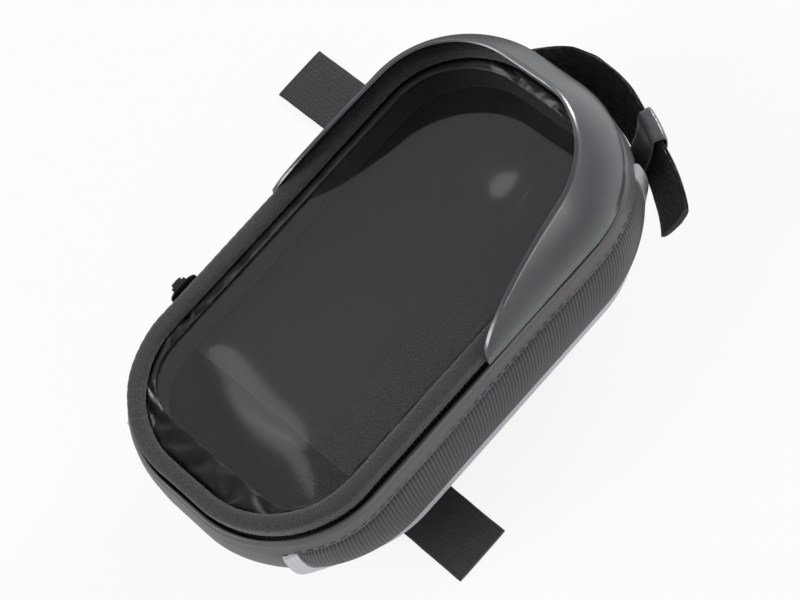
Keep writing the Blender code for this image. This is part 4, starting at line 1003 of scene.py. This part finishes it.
# Marks along the strap, in run from the front's middle: how far it stands off the wall, how far its upper edge
# lies below the zip, and how much it leans out.
mark = np.array([25.0, 18.0, 12.8, 8.0, -0.1, -7.9, -13.1, -19.0, -24.0, -29.0, -34.0, -39.0, -43.0]) * 0.001
away = np.array([1.6, 1.6, 4.2, 6.7, 8.0, 7.6, 7.0, 6.0, 5.9, 6.4, 7.6, 9.2, 10.6]) * 0.001
fall = np.array([6, 6, 6, 6, 6, 6, 6.3, 7.3, 8.5, 9.7, 11.0, 12.6, 14.2]) * 0.001
lean_out = np.array([0, 0, 0.15, 0.3, 0.36, 0.36, 0.34, 0.3, 0.28, 0.28, 0.3, 0.3, 0.3])
place = np.linspace(mark[0], mark[-1], 220)
away, fall, lean_out = (np.interp(-place, -mark, values) for values in (away, fall, lean_out))
kernel = np.hanning(19) / np.hanning(19).sum()
away, fall = (np.convolve(np.pad(values, 9, mode="edge"), kernel, mode="valid") for values in (away, fall))
turn = turns(48)
beside = STRAP_WIDTH / 2 * squarish(np.cos(turn), 0.35)
frayed = 1 + 0.02 * soft_waves(place[:, None], 0.1 * turn, 0.004, 61)
off = away[:, None] + 0.0009 * squarish(np.sin(turn), 0.45)
off = off + lean_out[:, None] * beside
up = (ZIP_Z - fall - STRAP_WIDTH / 2)[:, None] + beside * frayed
strap_rows = wall(QUARTER + place[:, None], up, off)
fit(surface("head_tube_strap", strap_rows), hooks, "tub", "webbing", "head_strap")

sewn_z = np.arange(0.0325, 0.0500, 0.0031)
for i, sewn_run in enumerate((QUARTER + 0.0235, QUARTER + 0.0195)):
    seam(f"strap_stitches_{i}", np.full(len(sewn_z), sewn_run), sewn_z, 0.00262, along_z=True)

turn = turns(64)
loop_up = 0.0112 * squarish(np.sin(turn), 0.35)
loop_off = 0.0060 + 0.0023 * squarish(np.cos(turn), 0.35) + 0.28 * loop_up
loop_up = 0.0385 + loop_up
side = turns(16)
band_run = QUARTER - 0.024 + 0.0044 * squarish(np.cos(side), 0.4)
thick = 0.0005 * squarish(np.sin(side), 0.6)
keeper_rows = wall(band_run, loop_up[:, None] + thick * np.sin(turn)[:, None],
                   loop_off[:, None] + thick * np.cos(turn)[:, None])

# Lacquered keeper: grey coated fabric, glossier than the band, with a faint grain.
lacquer, tree, shader, spot = new_material("lacquered_band", "#6a6a6e", 0.22, uv=False)
cloud = add(tree, "TexNoise", {"Vector": spot, "Scale": 420, "Detail": 4})
shade = add(tree, "Mix", {"Factor": cloud, "A": "#5a5a5e", "B": "#7b7b80"}, data_type="RGBA")
bump = add(tree, "Bump", {"Strength": 0.15, "Distance": 0.0003, "Height": cloud})
wire(shader, {"Base Color": shade, "Normal": bump})
fit(surface("keeper_loop", keeper_rows, ends="joined"), lacquer, "tub", "gloss_pu", "strap_keeper")

# Slider and pull
# The zip's slider is a black enamelled zinc casting whose two lugs hold a pin. A pull moulded in rubber hangs on
# the pin by its eye.

# Enamelled zinc: dark, smooth and half glossy, brighter where it rubs.
enamel, tree, shader, spot = new_material("black_enamelled_zinc", "#26262a", 0.3, uv=False)
rub = add(tree, "TexNoise", {"Vector": spot, "Scale": 500, "Detail": 4})
shade = add(tree, "Mix", {"Factor": rub, "A": "#19191c", "B": "#3a3a3f"}, data_type="RGBA")
shine = add(tree, "MapRange", {"Value": rub, "To Min": 0.22, "To Max": 0.42})
wire(shader, {"Base Color": shade, "Roughness": shine, "Metallic": 0.5})


def block(centre, half, blunt=0.3, steps=24):
    """A block with rounded edges: a superellipsoid, whose sines and cosines are raised to a small power."""
    tall = np.linspace(-math.pi / 2, math.pi / 2, steps)[:, None]
    round_turn = turns(2 * steps)[None, :]
    c = np.abs(np.cos(tall)) ** blunt
    points = to_points(squarish(np.sin(tall), blunt), c * squarish(np.cos(round_turn), blunt),
                       c * squarish(np.sin(round_turn), blunt))
    return points[1:-1] * np.array(half) + np.array(centre)


SLIDER_Y = -0.036
PIN_X = -0.0480
PIN_Z = 0.0562
LUG_OFF = 0.0023
slider_parts = [
    block((-0.0451, SLIDER_Y, ZIP_Z), (0.0007, 0.0052, 0.0036), 0.7),
    block((-0.0430, SLIDER_Y, ZIP_Z), (0.0017, 0.0034, 0.0004), 0.5),
    block((-0.0469, SLIDER_Y - LUG_OFF, PIN_Z), (0.0018, 0.0004, 0.0013), 0.7),
    block((-0.0469, SLIDER_Y + LUG_OFF, PIN_Z), (0.0018, 0.0004, 0.0013), 0.7),
]
for i, part in enumerate(slider_parts):
    nodes = ["zip_slider"] if i == 0 else []
    fit(surface(f"slider_part_{i}", part), enamel, "slider", "zip_metal", *nodes)
turn = turns(20)
pin_y = SLIDER_Y + np.linspace(-0.0025, 0.0025, 8)
pin = to_points(PIN_X + 0.0006 * np.cos(turn), pin_y[:, None], PIN_Z + 0.0006 * np.sin(turn))
fit(surface("slider_pin", pin), enamel, "slider", "zip_metal")

turn = turns(36)
section = turns(16)
radius = 0.00130 + 0.00038 * np.cos(section)
eye = to_points(PIN_X + radius * np.cos(turn)[:, None], SLIDER_Y + 0.0018 * squarish(np.sin(section), 0.5),
                PIN_Z + radius * np.sin(turn)[:, None])
fit(surface("pull_eye", eye, ends="joined"), rubber, "pull", "grip_rubber", "zip_pull")
tab = block((PIN_X, SLIDER_Y, PIN_Z - 0.0102), (0.0007, 0.002, 0.0088), 0.35, 30)
tab[..., 0] += 0.00012 * np.sin(2 * math.pi * tab[..., 2] / 0.0018) * np.sign(tab[..., 0] - PIN_X)
fit(surface("pull_tab", tab), rubber, "pull", "grip_rubber")
